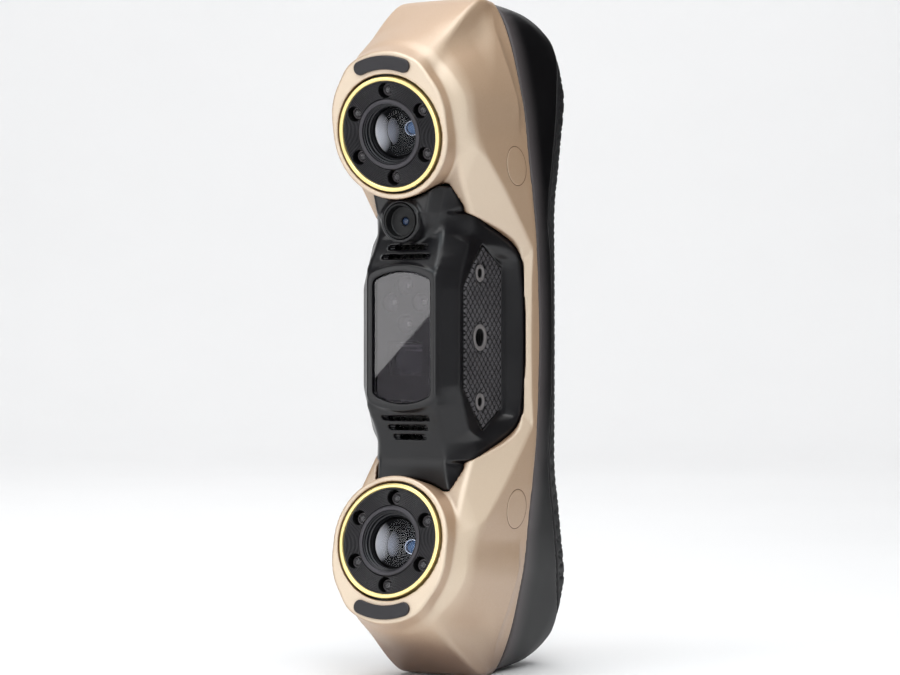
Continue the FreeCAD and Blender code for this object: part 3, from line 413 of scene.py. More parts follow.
def bowed(r0, z0, r1, z1, bulge, steps):
    """Points from (r0, z0) to (r1, z1) bowed sideways by bulge."""
    dr, dz = r1 - r0, z1 - z0
    length = math.hypot(dr, dz)
    points = []
    for i in range(steps + 1):
        t = i / steps
        bow = 4 * bulge * t * (1 - t)
        points.append((r0 + dr * t - dz / length * bow, z0 + dz * t + dr / length * bow))
    return points


def add_box(bm, centre, size):
    for v in bmesh.ops.create_cube(bm, size=1.0)["verts"]:
        v.co = Vector([(c + k * s) * MM for c, k, s in zip(centre, v.co, size)])


def round_edges(bm, width, **options):
    bmesh.ops.bevel(bm, geom=list(bm.edges), offset=width * MM, segments=2, affect="EDGES",
                    **options)


def block(centre, size, edge=None, **options):
    bm = bmesh.new()
    add_box(bm, centre, size)
    if edge:
        round_edges(bm, edge, **options)
    return bm_to_mesh(bm)


def join(parts):
    """One smooth mesh from meshes, or (mesh, matrix) pairs."""
    bm = bmesh.new()
    for part in parts:
        mesh, matrix = part if isinstance(part, tuple) else (part, Matrix.Identity(4))
        mesh.transform(matrix)
        bm.from_mesh(mesh)
        bpy.data.meshes.remove(mesh)
    joined = bm_to_mesh(bm)
    shade_smooth(joined)
    return joined


def axes_matrix(x_axis, y_axis, z_axis, origin):
    matrix = Matrix.Identity(4)
    for i in range(3):
        matrix[i] = (x_axis[i], y_axis[i], z_axis[i], origin[i] * MM)
    return matrix


def facing_front(x, y, z):
    """Local Z points to -Y."""
    return axes_matrix((1, 0, 0), (0, 0, 1), (0, -1, 0), (x, y, z))


def facing_right(x, y, z):
    """Local Z points to +X."""
    return axes_matrix((0, 1, 0), (0, 0, 1), (1, 0, 0), (x, y, z))


def add_object(name, mesh, matrix=None):
    mesh.name = name
    ob = bpy.data.objects.new(name, mesh)
    bpy.context.scene.collection.objects.link(ob)
    if matrix is not None:
        ob.matrix_world = matrix
    return ob


def carve(mesh, tool, matrix=None):
    """The mesh with the tool mesh taken away."""
    solid = add_object("carved", mesh)
    cutter = add_object("cutter", tool, matrix)
    bpy.context.view_layer.update()
    modifier = solid.modifiers.new("cut", "BOOLEAN")
    modifier.operation = "DIFFERENCE"
    modifier.solver = "EXACT"
    modifier.object = cutter
    depsgraph = bpy.context.evaluated_depsgraph_get()
    result = bpy.data.meshes.new_from_object(solid.evaluated_get(depsgraph))
    bpy.data.objects.remove(solid)
    bpy.data.objects.remove(cutter)
    return result


# ------------------------------------------------------------------ surface nets
def surface_nets(field, origin, step):
    """Quad surface of field = 0, one point per crossed cell."""
    inside = field < 0
    cells = [s - 1 for s in field.shape]
    count = np.zeros(cells, np.int8)
    for i in (0, 1):
        for j in (0, 1):
            for k in (0, 1):
                count += inside[i:cells[0] + i, j:cells[1] + j, k:cells[2] + k]
    active = np.argwhere((count > 0) & (count < 8)).astype(np.int32)
    index = np.full(cells, -1, np.int32)
    index[tuple(active.T)] = np.arange(len(active))
    total = np.zeros((len(active), 3))
    crossings = np.zeros(len(active))
    for axis in range(3):
        o1, o2 = [a for a in range(3) if a != axis]
        for p in (0, 1):
            for q in (0, 1):
                near = np.zeros(3, int)
                near[o1], near[o2] = p, q
                far = near.copy()
                far[axis] = 1
                a = field[tuple((active + near).T)]
                b = field[tuple((active + far).T)]
                crossed = (a < 0) != (b < 0)
                t = np.where(crossed, a / np.where(crossed, a - b, 1.0), 0.0)
                total[:, axis] += t
                total[:, o1] += crossed * p
                total[:, o2] += crossed * q
                crossings += crossed
    points = (active + total / crossings[:, None]) * step + np.asarray(origin)
    quads = []
    for axis in range(3):
        o1, o2 = (axis + 1) % 3, (axis + 2) % 3
        low, high = [slice(None)] * 3, [slice(None)] * 3
        low[axis], high[axis] = slice(0, -1), slice(1, None)
        a, b = inside[tuple(low)], inside[tuple(high)]
        edges = np.argwhere(a != b)
        edges = edges[(edges[:, o1] > 0) & (edges[:, o2] > 0)
                      & (edges[:, o1] < field.shape[o1] - 1)
                      & (edges[:, o2] < field.shape[o2] - 1)]
        outward = a[tuple(edges.T)]
        corners = []
        for d1, d2 in ((-1, -1), (0, -1), (0, 0), (-1, 0)):
            cell = edges.copy()
            cell[:, o1] += d1
            cell[:, o2] += d2
            corners.append(index[tuple(cell.T)])
        quad = np.stack(corners, 1)
        quad[~outward] = quad[~outward][:, ::-1]
        quads.append(quad)
    return points, np.concatenate(quads)


class Grid:
    """Grid mirrored in x and z; x, y, z and section cover only the positive quarter."""

    def __init__(self, half_x, y_min, y_max, half_z, step):
        self.step = step
        x_line, z_line = ((np.arange(int(half / step) + 2) + 0.5) * step
                          for half in (half_x, half_z))
        y_line = np.arange(y_min, y_max + step, step)
        self.x, self.y, self.z = np.ix_(x_line, y_line, z_line)
        self.section = Section(self.z)
        self.lines = (np.concatenate([-x_line[::-1], x_line]), y_line,
                      np.concatenate([-z_line[::-1], z_line]))

    def distance(self, field):
        """Field scaled to read roughly as a distance."""
        gx, gy, gz = np.gradient(field, self.step)
        return field / np.clip(np.sqrt(gx ** 2 + gy ** 2 + gz ** 2), 0.35, 3.0)

    def unfold(self, field):
        field = field.astype(np.float32)
        field = np.concatenate([field[::-1], field], 0)
        return np.concatenate([field[:, :, ::-1], field], 2)

    def window(self, *limits):
        """Slices of the unfolded grid within x, y and z limits, and their coordinates."""
        part = tuple(slice(*np.searchsorted(line, limit))
                     for line, limit in zip(self.lines, limits))
        return (part, *np.ix_(*(line[s] for line, s in zip(self.lines, part))))

    def mesh(self, field):
        return quad_mesh(*surface_nets(field, [line[0] for line in self.lines], self.step))


# ------------------------------------------------------------------ material tools
def srgb(*channels):
    """Linear colour from 0..255 channels."""
    return tuple((c / 255 / 12.92) if c <= 10 else ((c / 255 + 0.055) / 1.055) ** 2.4
                 for c in channels) + (1.0,)


def shade(colour, gain, lift=0.0):
    return tuple(min(1.0, v * gain + lift) for v in colour[:3]) + (1.0,)


class Material:
    """Node material with one surface shader and textures in object coordinates."""

    def __init__(self, name, shader="ShaderNodeBsdfPrincipled"):
        self.data = bpy.data.materials.new(name)
        self.data.use_nodes = True
        self.tree = self.data.node_tree
        self.tree.nodes.clear()
        output = self.node("ShaderNodeOutputMaterial")
        self.shader = self.node(shader)
        self.feed(output.inputs[0], self.shader.outputs[0])
        self.coords = self.node("ShaderNodeTexCoord").outputs["Object"]

    def node(self, kind, **settings):
        node = self.tree.nodes.new(kind)
        for key, value in settings.items():
            setattr(node, key, value)
        return node

    def feed(self, socket, value):
        """Link another node's output, or set a plain value."""
        if hasattr(value, "is_output"):
            self.tree.links.new(value, socket)
        else:
            socket.default_value = value

    def set(self, **values):
        for key, value in values.items():
            self.feed(self.shader.inputs[key.replace("_", " ")], value)

    def noise(self, scale, detail=3.0, rough=0.55, stretch=None):
        node = self.node("ShaderNodeTexNoise")
        self.feed(node.inputs["Scale"], scale)
        self.feed(node.inputs["Detail"], detail)
        self.feed(node.inputs["Roughness"], rough)
        vector = self.coords
        if stretch:
            mapping = self.node("ShaderNodeMapping")
            self.feed(mapping.inputs["Scale"], stretch)
            self.feed(mapping.inputs[0], vector)
            vector = mapping.outputs[0]
        self.feed(node.inputs["Vector"], vector)
        return node.outputs["Fac"]

    def remap(self, value, start, end, to=(0.0, 1.0)):
        node = self.node("ShaderNodeMapRange")
        for socket, v in zip(node.inputs, (value, start, end, *to)):
            self.feed(socket, v)
        return node.outputs[0]

    def patches(self, scale, detail, start, end, to=(0.0, 1.0), rough=0.55):
        """Noise remapped from start..end."""
        return self.remap(self.noise(scale, detail, rough), start, end, to)

    def math(self, operation, *values):
        node = self.node("ShaderNodeMath", operation=operation)
        for socket, value in zip(node.inputs, values):
            self.feed(socket, value)
        return node.outputs[0]

    def mix(self, factor, first, second):
        node = self.node("ShaderNodeMix", data_type="RGBA")
        for i, value in ((0, factor), (6, first), (7, second)):
            self.feed(node.inputs[i], value)
        return node.outputs[2]

    def axis(self, vector, i):
        node = self.node("ShaderNodeSeparateXYZ")
        self.feed(node.inputs[0], vector)
        return node.outputs[i]

    def world_x(self):
        return self.axis(self.node("ShaderNodeNewGeometry").outputs["Position"], 0)

    def bump(self, distance, *layers):
        """Chain of (height, strength) bumps; distance is in metres."""
        normal = None
        for height, strength in layers:
            node = self.node("ShaderNodeBump")
            self.feed(node.inputs["Strength"], strength)
            self.feed(node.inputs["Distance"], distance)
            self.feed(node.inputs["Height"], height)
            if normal is not None:
                self.feed(node.inputs["Normal"], normal)
            normal = node.outputs[0]
        self.set(Normal=normal)


# ------------------------------------------------------------------ materials
def gold_paint():
    m = Material("gold_shell")
    # painted sheen: pale when seen square on, deeper and browner at a glancing angle, in place of
    # the whitish sheen of the lights
    cloud = m.patches(scale=9.0, detail=4, start=0.3, end=0.7)
    pale = m.mix(cloud, srgb(210, 190, 166), srgb(203, 183, 159))
    deep = m.mix(cloud, srgb(181, 149, 119), srgb(174, 142, 112))
    facing = m.node("ShaderNodeLayerWeight")
    m.feed(facing.inputs["Blend"], 0.5)
    base = m.mix(m.remap(facing.outputs["Facing"], start=0.18, end=0.55), pale, deep)
    flake = m.noise(scale=5200.0, detail=2.0)
    base = m.mix(m.remap(flake, start=0.45, end=0.8, to=(0.0, 0.25)), base,
                 srgb(236, 222, 204))
    # painted shade: browner down in the hollows, darkened by ambient occlusion
    hollow_shade = m.node("ShaderNodeAmbientOcclusion", samples=6)
    m.feed(hollow_shade.inputs["Distance"], 0.017)
    base = m.mix(m.remap(hollow_shade.outputs["AO"], start=0.35, end=0.90), srgb(108, 76, 52), base)
    m.set(Base_Color=base, Metallic=0.15, Specular_IOR_Level=1.0, Coat_Weight=0.6,
          Coat_Roughness=0.45,
          Roughness=m.patches(scale=60.0, detail=5, start=0.2, end=0.8, to=(0.40, 0.50)))
    m.bump(0.00004, (flake, 0.10), (m.noise(scale=900.0), 0.05))
    return m


def plastic(name, tone, rough, grain, strength, dust, specular):
    m = Material(name)
    colour = srgb(*tone)
    dusty = shade(colour, gain=1.7, lift=0.004)
    amount = m.patches(scale=26.0, detail=6, start=0.45, end=0.8, to=(0.0, dust))
    m.set(Base_Color=m.mix(amount, colour, dusty), Specular_IOR_Level=specular,
          Roughness=m.patches(scale=45.0, detail=5, start=0.25, end=0.75, to=rough))
    m.bump(0.00005, (m.noise(grain, detail=2.0), strength),
           (m.noise(scale=240.0), strength * 0.2))
    return m


def black_shell():
    """Black casing, with a painted reflection: paler along the joint with the front shell."""
    m = Material("black_shell")
    height = m.math("ABSOLUTE", m.axis(m.coords, 2))
    # the joint runs at y 14 in the middle and y 7.5 near the ends
    joint = m.remap(height, start=10 * MM, end=60 * MM, to=(14.0 * MM, 7.5 * MM))
    behind = m.math("SUBTRACT", m.axis(m.coords, 1), joint)
    # painted reflection: grey at the joint, fading to black 9.5 mm behind it
    pale = m.math("POWER", m.remap(behind, start=0.0, end=9.5 * MM, to=(1.0, 0.0)), 1.6)
    m.set(Base_Color=m.mix(pale, srgb(8, 7, 9), srgb(88, 83, 84)), Specular_IOR_Level=0.25,
          Roughness=m.patches(scale=45.0, detail=5, start=0.25, end=0.75, to=(0.36, 0.46)))
    m.bump(0.00005, (m.noise(scale=3200.0, detail=2.0), 0.18), (m.noise(scale=240.0), 0.04))
    return m


def metal(name, tone, rough, metallic, grain, strength, stretch=None):
    m = Material(name)
    colour = srgb(*tone)
    amount = m.patches(scale=120.0, detail=4, start=0.3, end=0.7, to=(0.0, 0.5))
    texture = m.noise(grain, rough=0.6 if stretch or True else 0.55, stretch=stretch)
    m.set(Base_Color=m.mix(amount, colour, shade(colour, gain=0.86)), Metallic=metallic,
          Roughness=m.remap(texture, start=0.25, end=0.75, to=rough))
    m.bump(0.00003, (texture, strength))
    return m


def turned(name, tone, rough, metallic, pitch, strength, specular):
    """Concentric tool marks about local Z."""
    m = Material(name)
    colour = srgb(*tone)
    squares = [m.math("POWER", m.axis(m.coords, i), 2.0) for i in (0, 1)]
    radius = m.math("SQRT", m.math("ADD", *squares))
    marks = m.math("SINE", m.math("MULTIPLY", radius, 2 * math.pi / pitch))
    amount = m.patches(scale=90.0, detail=4, start=0.3, end=0.7, to=(0.0, 0.6))
    m.set(Base_Color=m.mix(amount, colour, shade(colour, gain=1.5, lift=0.003)),
          Metallic=metallic, Specular_IOR_Level=specular,
          Roughness=m.patches(scale=200.0, detail=3, start=0.25, end=0.75, to=rough))
    m.bump(0.00002, (marks, strength), (m.noise(scale=1800.0, detail=2), 0.12))
    return m


def glass(name, tint, rough, transmission, ior):
    m = Material(name)
    tint = tint + (1.0,)
    amount = m.patches(scale=30.0, detail=4, start=0.4, end=0.8, to=(0.0, 0.12))
    m.set(Base_Color=m.mix(amount, tint, shade(tint, gain=0.8)),
          Transmission_Weight=transmission, IOR=ior,
          Roughness=m.patches(scale=35.0, detail=5, start=0.45, end=0.85,
                              to=(rough, rough + 0.03), rough=0.65))
    m.bump(0.00002, (m.noise(scale=14.0, detail=2), 0.01))
    return m


def bezel_black():
    """Black anodised ring: ridge tops with wear, painted shade in the grooves."""
    m = Material("bezel_black")
    # painted shade: groove floors near black, ridge tops lighter
    ridge = m.remap(m.axis(m.coords, 2), start=-0.42 * MM, end=-0.2 * MM)
    wear = m.patches(scale=80.0, detail=4, start=0.35, end=0.7)
    tops = m.mix(wear, srgb(34, 33, 36), srgb(48, 46, 50))
    m.set(Base_Color=m.mix(ridge, srgb(5, 5, 6), tops), Metallic=0.3, Specular_IOR_Level=0.5,
          Roughness=m.patches(scale=200.0, detail=3, start=0.25, end=0.75, to=(0.26, 0.38)))
    m.bump(0.00002, (m.noise(scale=1800.0, detail=2), 0.12))
    return m


def cone(name, light, dark, start, end):
    """Barrel cone, with a painted highlight on the -X flank and painted shade from x = end (mm)
    on.
    """
    m = Material(name)
    # painted highlight fading to painted shade across x
    across = m.remap(m.world_x(), start=start * MM, end=end * MM)
    stain = m.patches(scale=160.0, detail=3, start=0.3, end=0.7, to=(0.0, 0.12))
    colour = m.mix(stain, m.mix(across, srgb(*light), srgb(*dark)), srgb(8, 8, 10))
    m.set(Base_Color=colour, Metallic=0.0, Specular_IOR_Level=0.08,
          Roughness=m.patches(scale=300.0, detail=3, start=0.25, end=0.75, to=(0.6, 0.75)))
    m.bump(0.00002, (m.noise(scale=1500.0, detail=2), 0.1))
    return m


def pad_rubber():
    """Moulded rubber: grey tops with wear, painted shade in the valleys."""
    m = Material("pad_rubber")

    def stripes(sign):
        """0 in the valley lines, 1 in the middle of a diamond."""
        along = m.math("MULTIPLY", m.axis(m.coords, 1), 1.0 / (LATTICE_Y * MM))
        up = m.math("MULTIPLY", m.axis(m.coords, 2), sign / (LATTICE_Z * MM))
        phase = m.math("FRACT", m.math("ADD", along, up))
        off = m.math("ABSOLUTE", m.math("SUBTRACT", phase, 0.5))
        return m.remap(off, start=0.345, end=0.41, to=(1.0, 0.0))

    # painted shade: black in the valley lines and below the tops
    diamonds = m.math("MINIMUM", stripes(1.0), stripes(-1.0))
    raised = m.remap(m.math("ABSOLUTE", m.axis(m.coords, 0)), start=15.9 * MM, end=16.15 * MM)
    wear = m.patches(scale=70.0, detail=4, start=0.35, end=0.7)
    tops = m.mix(wear, srgb(62, 60, 63), srgb(76, 74, 77))
    m.set(Base_Color=m.mix(m.math("MULTIPLY", diamonds, raised), srgb(4, 4, 4), tops),
          Specular_IOR_Level=0.35,
          Roughness=m.patches(scale=60.0, detail=4, start=0.25, end=0.75, to=(0.5, 0.64)))
    m.bump(0.00005, (m.noise(scale=2600.0, detail=2), 0.3))
    return m


def insert_steel():
    """Plain steel bush: matt rim, painted shade down the threaded bore."""
    m = Material("insert_steel")
    # painted shade: near black inside the bore, grey on the outer rim
    outward = m.remap(m.world_x(), start=16.1 * MM, end=16.55 * MM)
    cloud = m.patches(scale=120.0, detail=4, start=0.3, end=0.7, to=(0.0, 0.5))
    rim = m.mix(cloud, srgb(128, 124, 124), srgb(112, 108, 108))
    m.set(Base_Color=m.mix(outward, srgb(10, 10, 11), rim), Metallic=0.4,
          Roughness=m.patches(scale=300.0, detail=3, start=0.25, end=0.75, to=(0.42, 0.55)))
    m.bump(0.00003, (m.noise(scale=900.0), 0.1))
    return m


# name, sRGB tone, roughness range, grain scale, grain strength, dust amount, specular
PLASTICS = (
    ("black_grip", (24, 23, 25), (0.5, 0.66), 2400.0, 0.3, 0.15, 0.3),
    ("black_housing", (13, 12, 15), (0.26, 0.36), 2800.0, 0.16, 0.06, 0.45),
    ("lamp_white", (196, 196, 190), (0.2, 0.3), 900.0, 0.1, 0.15, 0.4),
    ("board_green", (22, 74, 44), (0.3, 0.45), 500.0, 0.3, 0.15, 0.4),
    ("chip_black", (26, 26, 28), (0.45, 0.6), 2000.0, 0.3, 0.15, 0.4),
    ("key_black", (40, 40, 43), (0.5, 0.62), 3000.0, 0.25, 0.15, 0.4),
    ("pad_grey", (112, 116, 122), (0.6, 0.75), 1200.0, 0.3, 0.15, 0.4),
    ("black_rubber", (40, 38, 41), (0.48, 0.62), 2200.0, 0.3, 0.15, 0.4),
    ("mask_black", (26, 25, 28), (0.5, 0.64), 1800.0, 0.25, 0.1, 0.05),
    ("plug_gap", (96, 72, 50), (0.5, 0.6), 1500.0, 0.2, 0.15, 0.4),
)
# name, sRGB tone, roughness range, metallic, grain scale, grain strength, grain stretch
METALS = (
    ("gold_trim", (255, 232, 160), (0.26, 0.36), 0.85, 900.0, 0.05),
    ("steel", (150, 148, 146), (0.22, 0.36), 1.0, 700.0, 0.12),
    ("dark_steel", (92, 90, 92), (0.28, 0.42), 1.0, 700.0, 0.12),
    ("bare_aluminium", (196, 197, 199), (0.24, 0.4), 1.0, 90.0, 0.2, (1, 40, 1)),
    ("reflector", (74, 72, 76), (0.3, 0.4), 0.6, 300.0, 0.1),
    ("rail_steel", (176, 172, 178), (0.2, 0.3), 0.7, 300.0, 0.1),
)
# name, sRGB tone, roughness range, metallic, mark pitch (m), mark strength, specular
TURNED = (
    ("black_anodised", (30, 30, 33), (0.3, 0.42), 0.4, 0.00025, 0.35, 0.5),
    ("boss_black", (14, 14, 15), (0.34, 0.46), 0.1, 0.0004, 0.2, 0.3),
    ("lip_black", (54, 52, 56), (0.30, 0.40), 0.45, 0.0002, 0.2, 0.5),
    ("lamp_dark", (74, 70, 72), (0.2, 0.3), 0.2, 0.0004, 0.4, 0.5),
    ("pupil_ring", (215, 222, 235), (0.2, 0.3), 0.9, 0.0002, 0.1, 0.5),
)
# name, linear tint, roughness, transmission, refractive index
GLASSES = (
    ("lens_glass", (0.92, 0.95, 1.0), 0.0, 1.0, 1.18),
    ("window_glass", (0.42, 0.40, 0.44), 0.01, 1.0, 1.5),
    ("lamp_dome", (0.20, 0.19, 0.20), 0.05, 0.7, 1.35),
    ("pupil_glass", (0.16, 0.28, 0.50), 0.02, 0.2, 1.5),
    ("rgb_glass", (0.02, 0.035, 0.075), 0.03, 0.0, 1.5),
)
# name, sRGB painted lit and painted shaded tones, x limits of the change, mm
CONES = (
    ("cone_grey", (235, 233, 238), (14, 14, 16), -7.0, -4.2),
    ("cone_blue", (225, 224, 234), (12, 12, 16), -5.2, -3.2),
)
MATERIALS = {
    "gold_shell": gold_paint(),
    "black_shell": black_shell(),
    "bezel_black": bezel_black(),
    "pad_rubber": pad_rubber(),
    "insert_steel": insert_steel(),
}
for build, table in ((plastic, PLASTICS), (metal, METALS), (turned, TURNED), (glass, GLASSES),
                     (cone, CONES)):
    for row in table:
        MATERIALS[row[0]] = build(*row)
# coated glass: next to no mirror image of the lights
MATERIALS["lens_glass"].set(Specular_IOR_Level=0.0)


# ------------------------------------------------------------------ placing pieces
def dress(ob, material):
    ob.data.materials.clear()
    ob.data.materials.append(material.data)


nodes = frame["nodes"]
slot_of = {s["node"]: s["material_slot"] for s in frame["record"]["subparts"]}
for node, ob in nodes.items():
    dress(ob, MATERIALS.get(slot_of.get(node, ""), MATERIALS["black_shell"]))


def body_for(node):
    for body, members in frame["record"]["behaviour"]["bodies"].items():
        if node in members:
            return body
    return BODY


def stand_in(node, mesh, material, matrix=None, name=None):
    """A rebuilt piece that stands for one CAD node."""
    ob = add_object(name or "v_" + node, mesh, matrix)
    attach(ob, body_for(node))
    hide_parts(node)
    dress(ob, MATERIALS[material])
    return ob


def detail(name, mesh, slot, material, matrix=None, body=BODY):
    """A piece with no CAD node of its own."""
    ob = add_object("v_" + name, mesh, matrix)
    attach(ob, body)
    dress(ob, MATERIALS[material])


# ------------------------------------------------------------------ casings
def front_casing():
    grid = Grid(SHELL_X, -42.4, 16.6, SHELL_Z, SHELL_STEP)
    x, y, z, section = grid.x, grid.y, grid.z, grid.section
    skin = grid.distance(front_surface(x, y, z, section))
    past_seam = y - (section.seam_y - SEAM_GAP)
    front, middle, _ = side_widths(section, y)
    past_side = x - np.minimum(front, middle)
    chamfer = 0.35 + 1.15 * ease(70.0, 96.0, section.abs_z)
    outer = smax(skin, past_seam, 0.3)
    outer = smax(outer, (past_seam + past_side * 0.9) * 0.743 + chamfer * 0.55, 0.3)
    solid = cut(outer, skin + 2.2)
    up, out = pod_frame(y, z)
    bore = np.maximum(np.maximum(np.sqrt(x * x + up * up) - 17.5, out - 6.0), -out - 14.0)
    pod = smax(smax(pod_wall(x, up), out, 0.2), -out - POD_DEPTH, 0.5)
    pocket = cut(np.maximum(housing_surface(x, y, z) - 0.42, z - 45.4), pod)
    solid = cut(solid, bore, 0.35)
    solid = cut(solid, pocket, 0.3)
    solid = cut(solid, box(x, y, z, (-13, 13), (-13, 20), (-62, 62)))
    # bosses behind the side plugs, each with a blind hole
    boss = cylinder(x, y, z, (PLUG_Y, PLUG_Z), 7.0, 17.6, 22.2)
    solid = np.minimum(solid, np.maximum(boss, skin + 0.4))
    solid = cut(solid, cylinder(x, y, z, (PLUG_Y, PLUG_Z), 1.75, 10.0, 21.2))
    stand_in("front_casing", grid.mesh(grid.unfold(solid)), "gold_shell")


def back_casing(grid, skin):
    y, section = grid.y, grid.section
    ring = smax(smax(skin, (section.seam_y + SEAM_GAP) - y, 0.5),
                y - (section.cover_y - COVER_GAP), 0.4)
    under_cover = np.maximum(skin + 2.1, (section.cover_y - 0.6) - y)
    solid = grid.unfold(cut(np.minimum(ring, under_cover), skin + 4.1))
    for _, key_z, radius, _ in KEYS:
        part, x, y, z = grid.window((-8, 8), (20, 42), (key_z - 8, key_z + 8))
        hole = cylinder(y, x, z, (0.0, key_z), radius - KEY_REST, 20, 43)
        solid[part] = cut(solid[part], hole)
    # slot above the plus key
    part, x, y, z = grid.window((-4, 4), (20, 42), (20, 28))
    solid[part] = cut(solid[part], box(x, y, z, (-2.6, 2.6), (20, 43), (23.15, 24.85)))
    # rounded opening in the lower end
    part, x, y, z = grid.window((-9, 9), (10, 23), (-SHELL_Z, -90))
    opening = box(x, y, z, (-6.25, 6.25), (13.25, 19.75), (-110, -90), 1.2)
    solid[part] = cut(solid[part], opening, 0.3)
    # four blocks inside the seam, level with the side plugs
    for side in (-1, 1):
        for end in (-1, 1):
            part, x, y, z = grid.window(span(side, 13, 23), (5, 14),
                                        span(end, PLUG_Z - 6, PLUG_Z + 6))
            lug = box(x, y, z, span(side, 15.7, 20.7), (6.6, 12.2),
                      span(end, PLUG_Z - 4, PLUG_Z + 4))
            solid[part] = np.minimum(solid[part], lug)
    stand_in("back_casing", grid.mesh(solid), "black_shell")


def rear_cover(grid, skin):
    """Grip cover with raised diamonds, faded out before its edges."""
    x, y, z, section = grid.x, grid.y, grid.z, grid.section
    groove = ease(0.70, 0.97, lattice(x / 3.2, z / 4.6))
    patch = ease(1.2, 2.4, y - section.cover_y) * ease(90.0, 84.0, section.abs_z)
    outer = smax(skin + 0.42 * groove * patch, (section.cover_y + 0.14) - y, 0.5)
    solid = grid.unfold(cut(outer, skin + 2.0, 0.0))
    for _, key_z, radius, _ in KEYS:
        part, x, y, z = grid.window((-11, 11), (28, 42), (key_z - 11, key_z + 11))
        hole = cylinder(y, x, z, (0.0, key_z), radius + KEY_GAP, 26, 43)
        solid[part] = cut(solid[part], hole, 0.3)
    part, x, y, z = grid.window((-4, 4), (28, 42), (20, 28))
    solid[part] = cut(solid[part], box(x, y, z, (-2.1, 2.1), (26, 43), (23.4, 24.6), 0.3))
    stand_in("rear_cover", grid.mesh(solid), "black_grip")


def back_shells():
    grid = Grid(SHELL_X, 6.0, 42.4, SHELL_Z, SHELL_STEP)
    skin = grid.distance(casing_envelope(grid.x, grid.y, grid.section))
    back_casing(grid, skin)
    rear_cover(grid, skin)


# ------------------------------------------------------------------ centre housing
def add_camera_boss(grid, solid):
    """Tube, hood and bore of the colour camera."""
    part, x, y, z = grid.window((-17, 17), (-31, -10), (24, 45.5))
    tube = smax(cylinder(y, x, z, (0.0, RGB_Z), 6.5, -200, -19.0), -29.6 - y, 1.0)
    # hood: y of its front, half width there, half width at its back plane
    heights, hood_back = (30.5, 36.5, 45.0), -20.5
    front_y, front_x, back_x = (np.interp(z, heights, values) for values in (
        (-23.6, -28.4, -28.4), (8.0, 8.6, 10.6), (10.0, 11.8, 12.9)))
    side = (((np.abs(x) - front_x) * (hood_back - front_y) - (y - front_y) * (back_x - front_x))
            / np.sqrt((-hood_back + front_y) ** 2 + (back_x - front_x) ** 2))
    face = (front_y - y) * (0.78 + 0.22 * ease(35.5, 37.5, z))
    hood = smax(smax(face, side, 1.0), np.maximum(y - hood_back, 30.6 - z), 0.6)
    local = smin(smin(solid[part], hood, 2.0), tube, 1.6).astype(np.float32)
    local = cut(local, cylinder(y, x, z, (0.0, RGB_Z), 5.4, -40, -9.0), 0.25)
    solid[part] = cut(local.astype(np.float32),
                      box(x, y, z, (-4.6, 4.6), (-22.3, -9.0), (29.4, 38.7)))


def add_vents(grid, solid):
    """Round-ended slots; the camera boss takes the place of the third upper one."""
    for row, width in enumerate(VENT_WIDTHS):
        for end in (1, -1):
            if end > 0 and row == 2:
                continue
            slot_z = (VENT_Z + VENT_PITCH * row) * end
            part, x, y, z = grid.window((-11, 11), (-31, -14), (slot_z - 3, slot_z + 3))

            def slot(inset, radius):
                past = np.maximum(np.abs(x) - (width / 2 - inset), 0)
                return np.sqrt(past ** 2 + (z - slot_z) ** 2) - radius

            # a shallow full-width slot, then a narrower one right through
            shallow = np.maximum(slot(0.75, 0.75), -solid[part] - 0.95)
            solid[part] = cut(solid[part], shallow, 0.25)
            solid[part] = cut(solid[part], slot(2.5, 0.72), 0.2)


def centre_housing():
    grid = Grid(22.2, -31.2, 9.6, 45.6, HOUSING_STEP)
    x, y, z = grid.x, grid.y, grid.z
    skin = smax(grid.distance(housing_surface(x, y, z)), y - 9.0, 0.3)
    # window recess with arched ends, in a raised rim
    reach = np.sqrt(x ** 2 + (z + WINDOW_DROP) ** 2)
    recess = np.maximum(smax(x - 9.8, reach - 19.95, 1.2), y - WINDOW_BACK)
    opening = smax(smax(x - 8.8, reach - 18.9, 1.2), y + 10.0, 0.0)
    rim = smax(smax(x - 11.7, reach - 22.0, 1.6), -28.95 - y, 0.7)
    solid = smin(skin, np.maximum(rim, y + 26.0), 1.2)
    solid = cut(cut(cut(solid, skin + 2.2), recess), opening)
    # shallow hexagonal pad seats on both sides
    seat = np.maximum(np.maximum(pad_outline(y, z) - 0.12, 15.4 - x), x - 17.4)
    solid = grid.unfold(cut(solid, seat, 0.3))
    add_camera_boss(grid, solid)
    add_vents(grid, solid)
    # clearance round the pods, and flat ends
    for end, limit in ((1, 44.3), (-1, 44.7)):
        part, x, y, z = grid.window((-22.2, 22.2), (-31.3, 9.7), span(end, 30, 46))
        below = np.minimum(pod_frame(y, z)[0], 0)
        solid[part] = cut(solid[part], np.sqrt(x ** 2 + below ** 2) - 19.65, 0.6)
        solid[part] = np.maximum(solid[part], np.abs(z) - limit)
    for mount_z, radius in MOUNTS:
        part, x, y, z = grid.window((8, 18), (-17, -5), (mount_z - 6, mount_z + 6))
        hole = cylinder(x, y, z, (MOUNT_Y, mount_z), radius, 8.0, 20.0)
        solid[part] = cut(solid[part], hole)
    stand_in("centre_housing", grid.mesh(solid), "black_housing")


front_casing()
back_shells()
centre_housing()


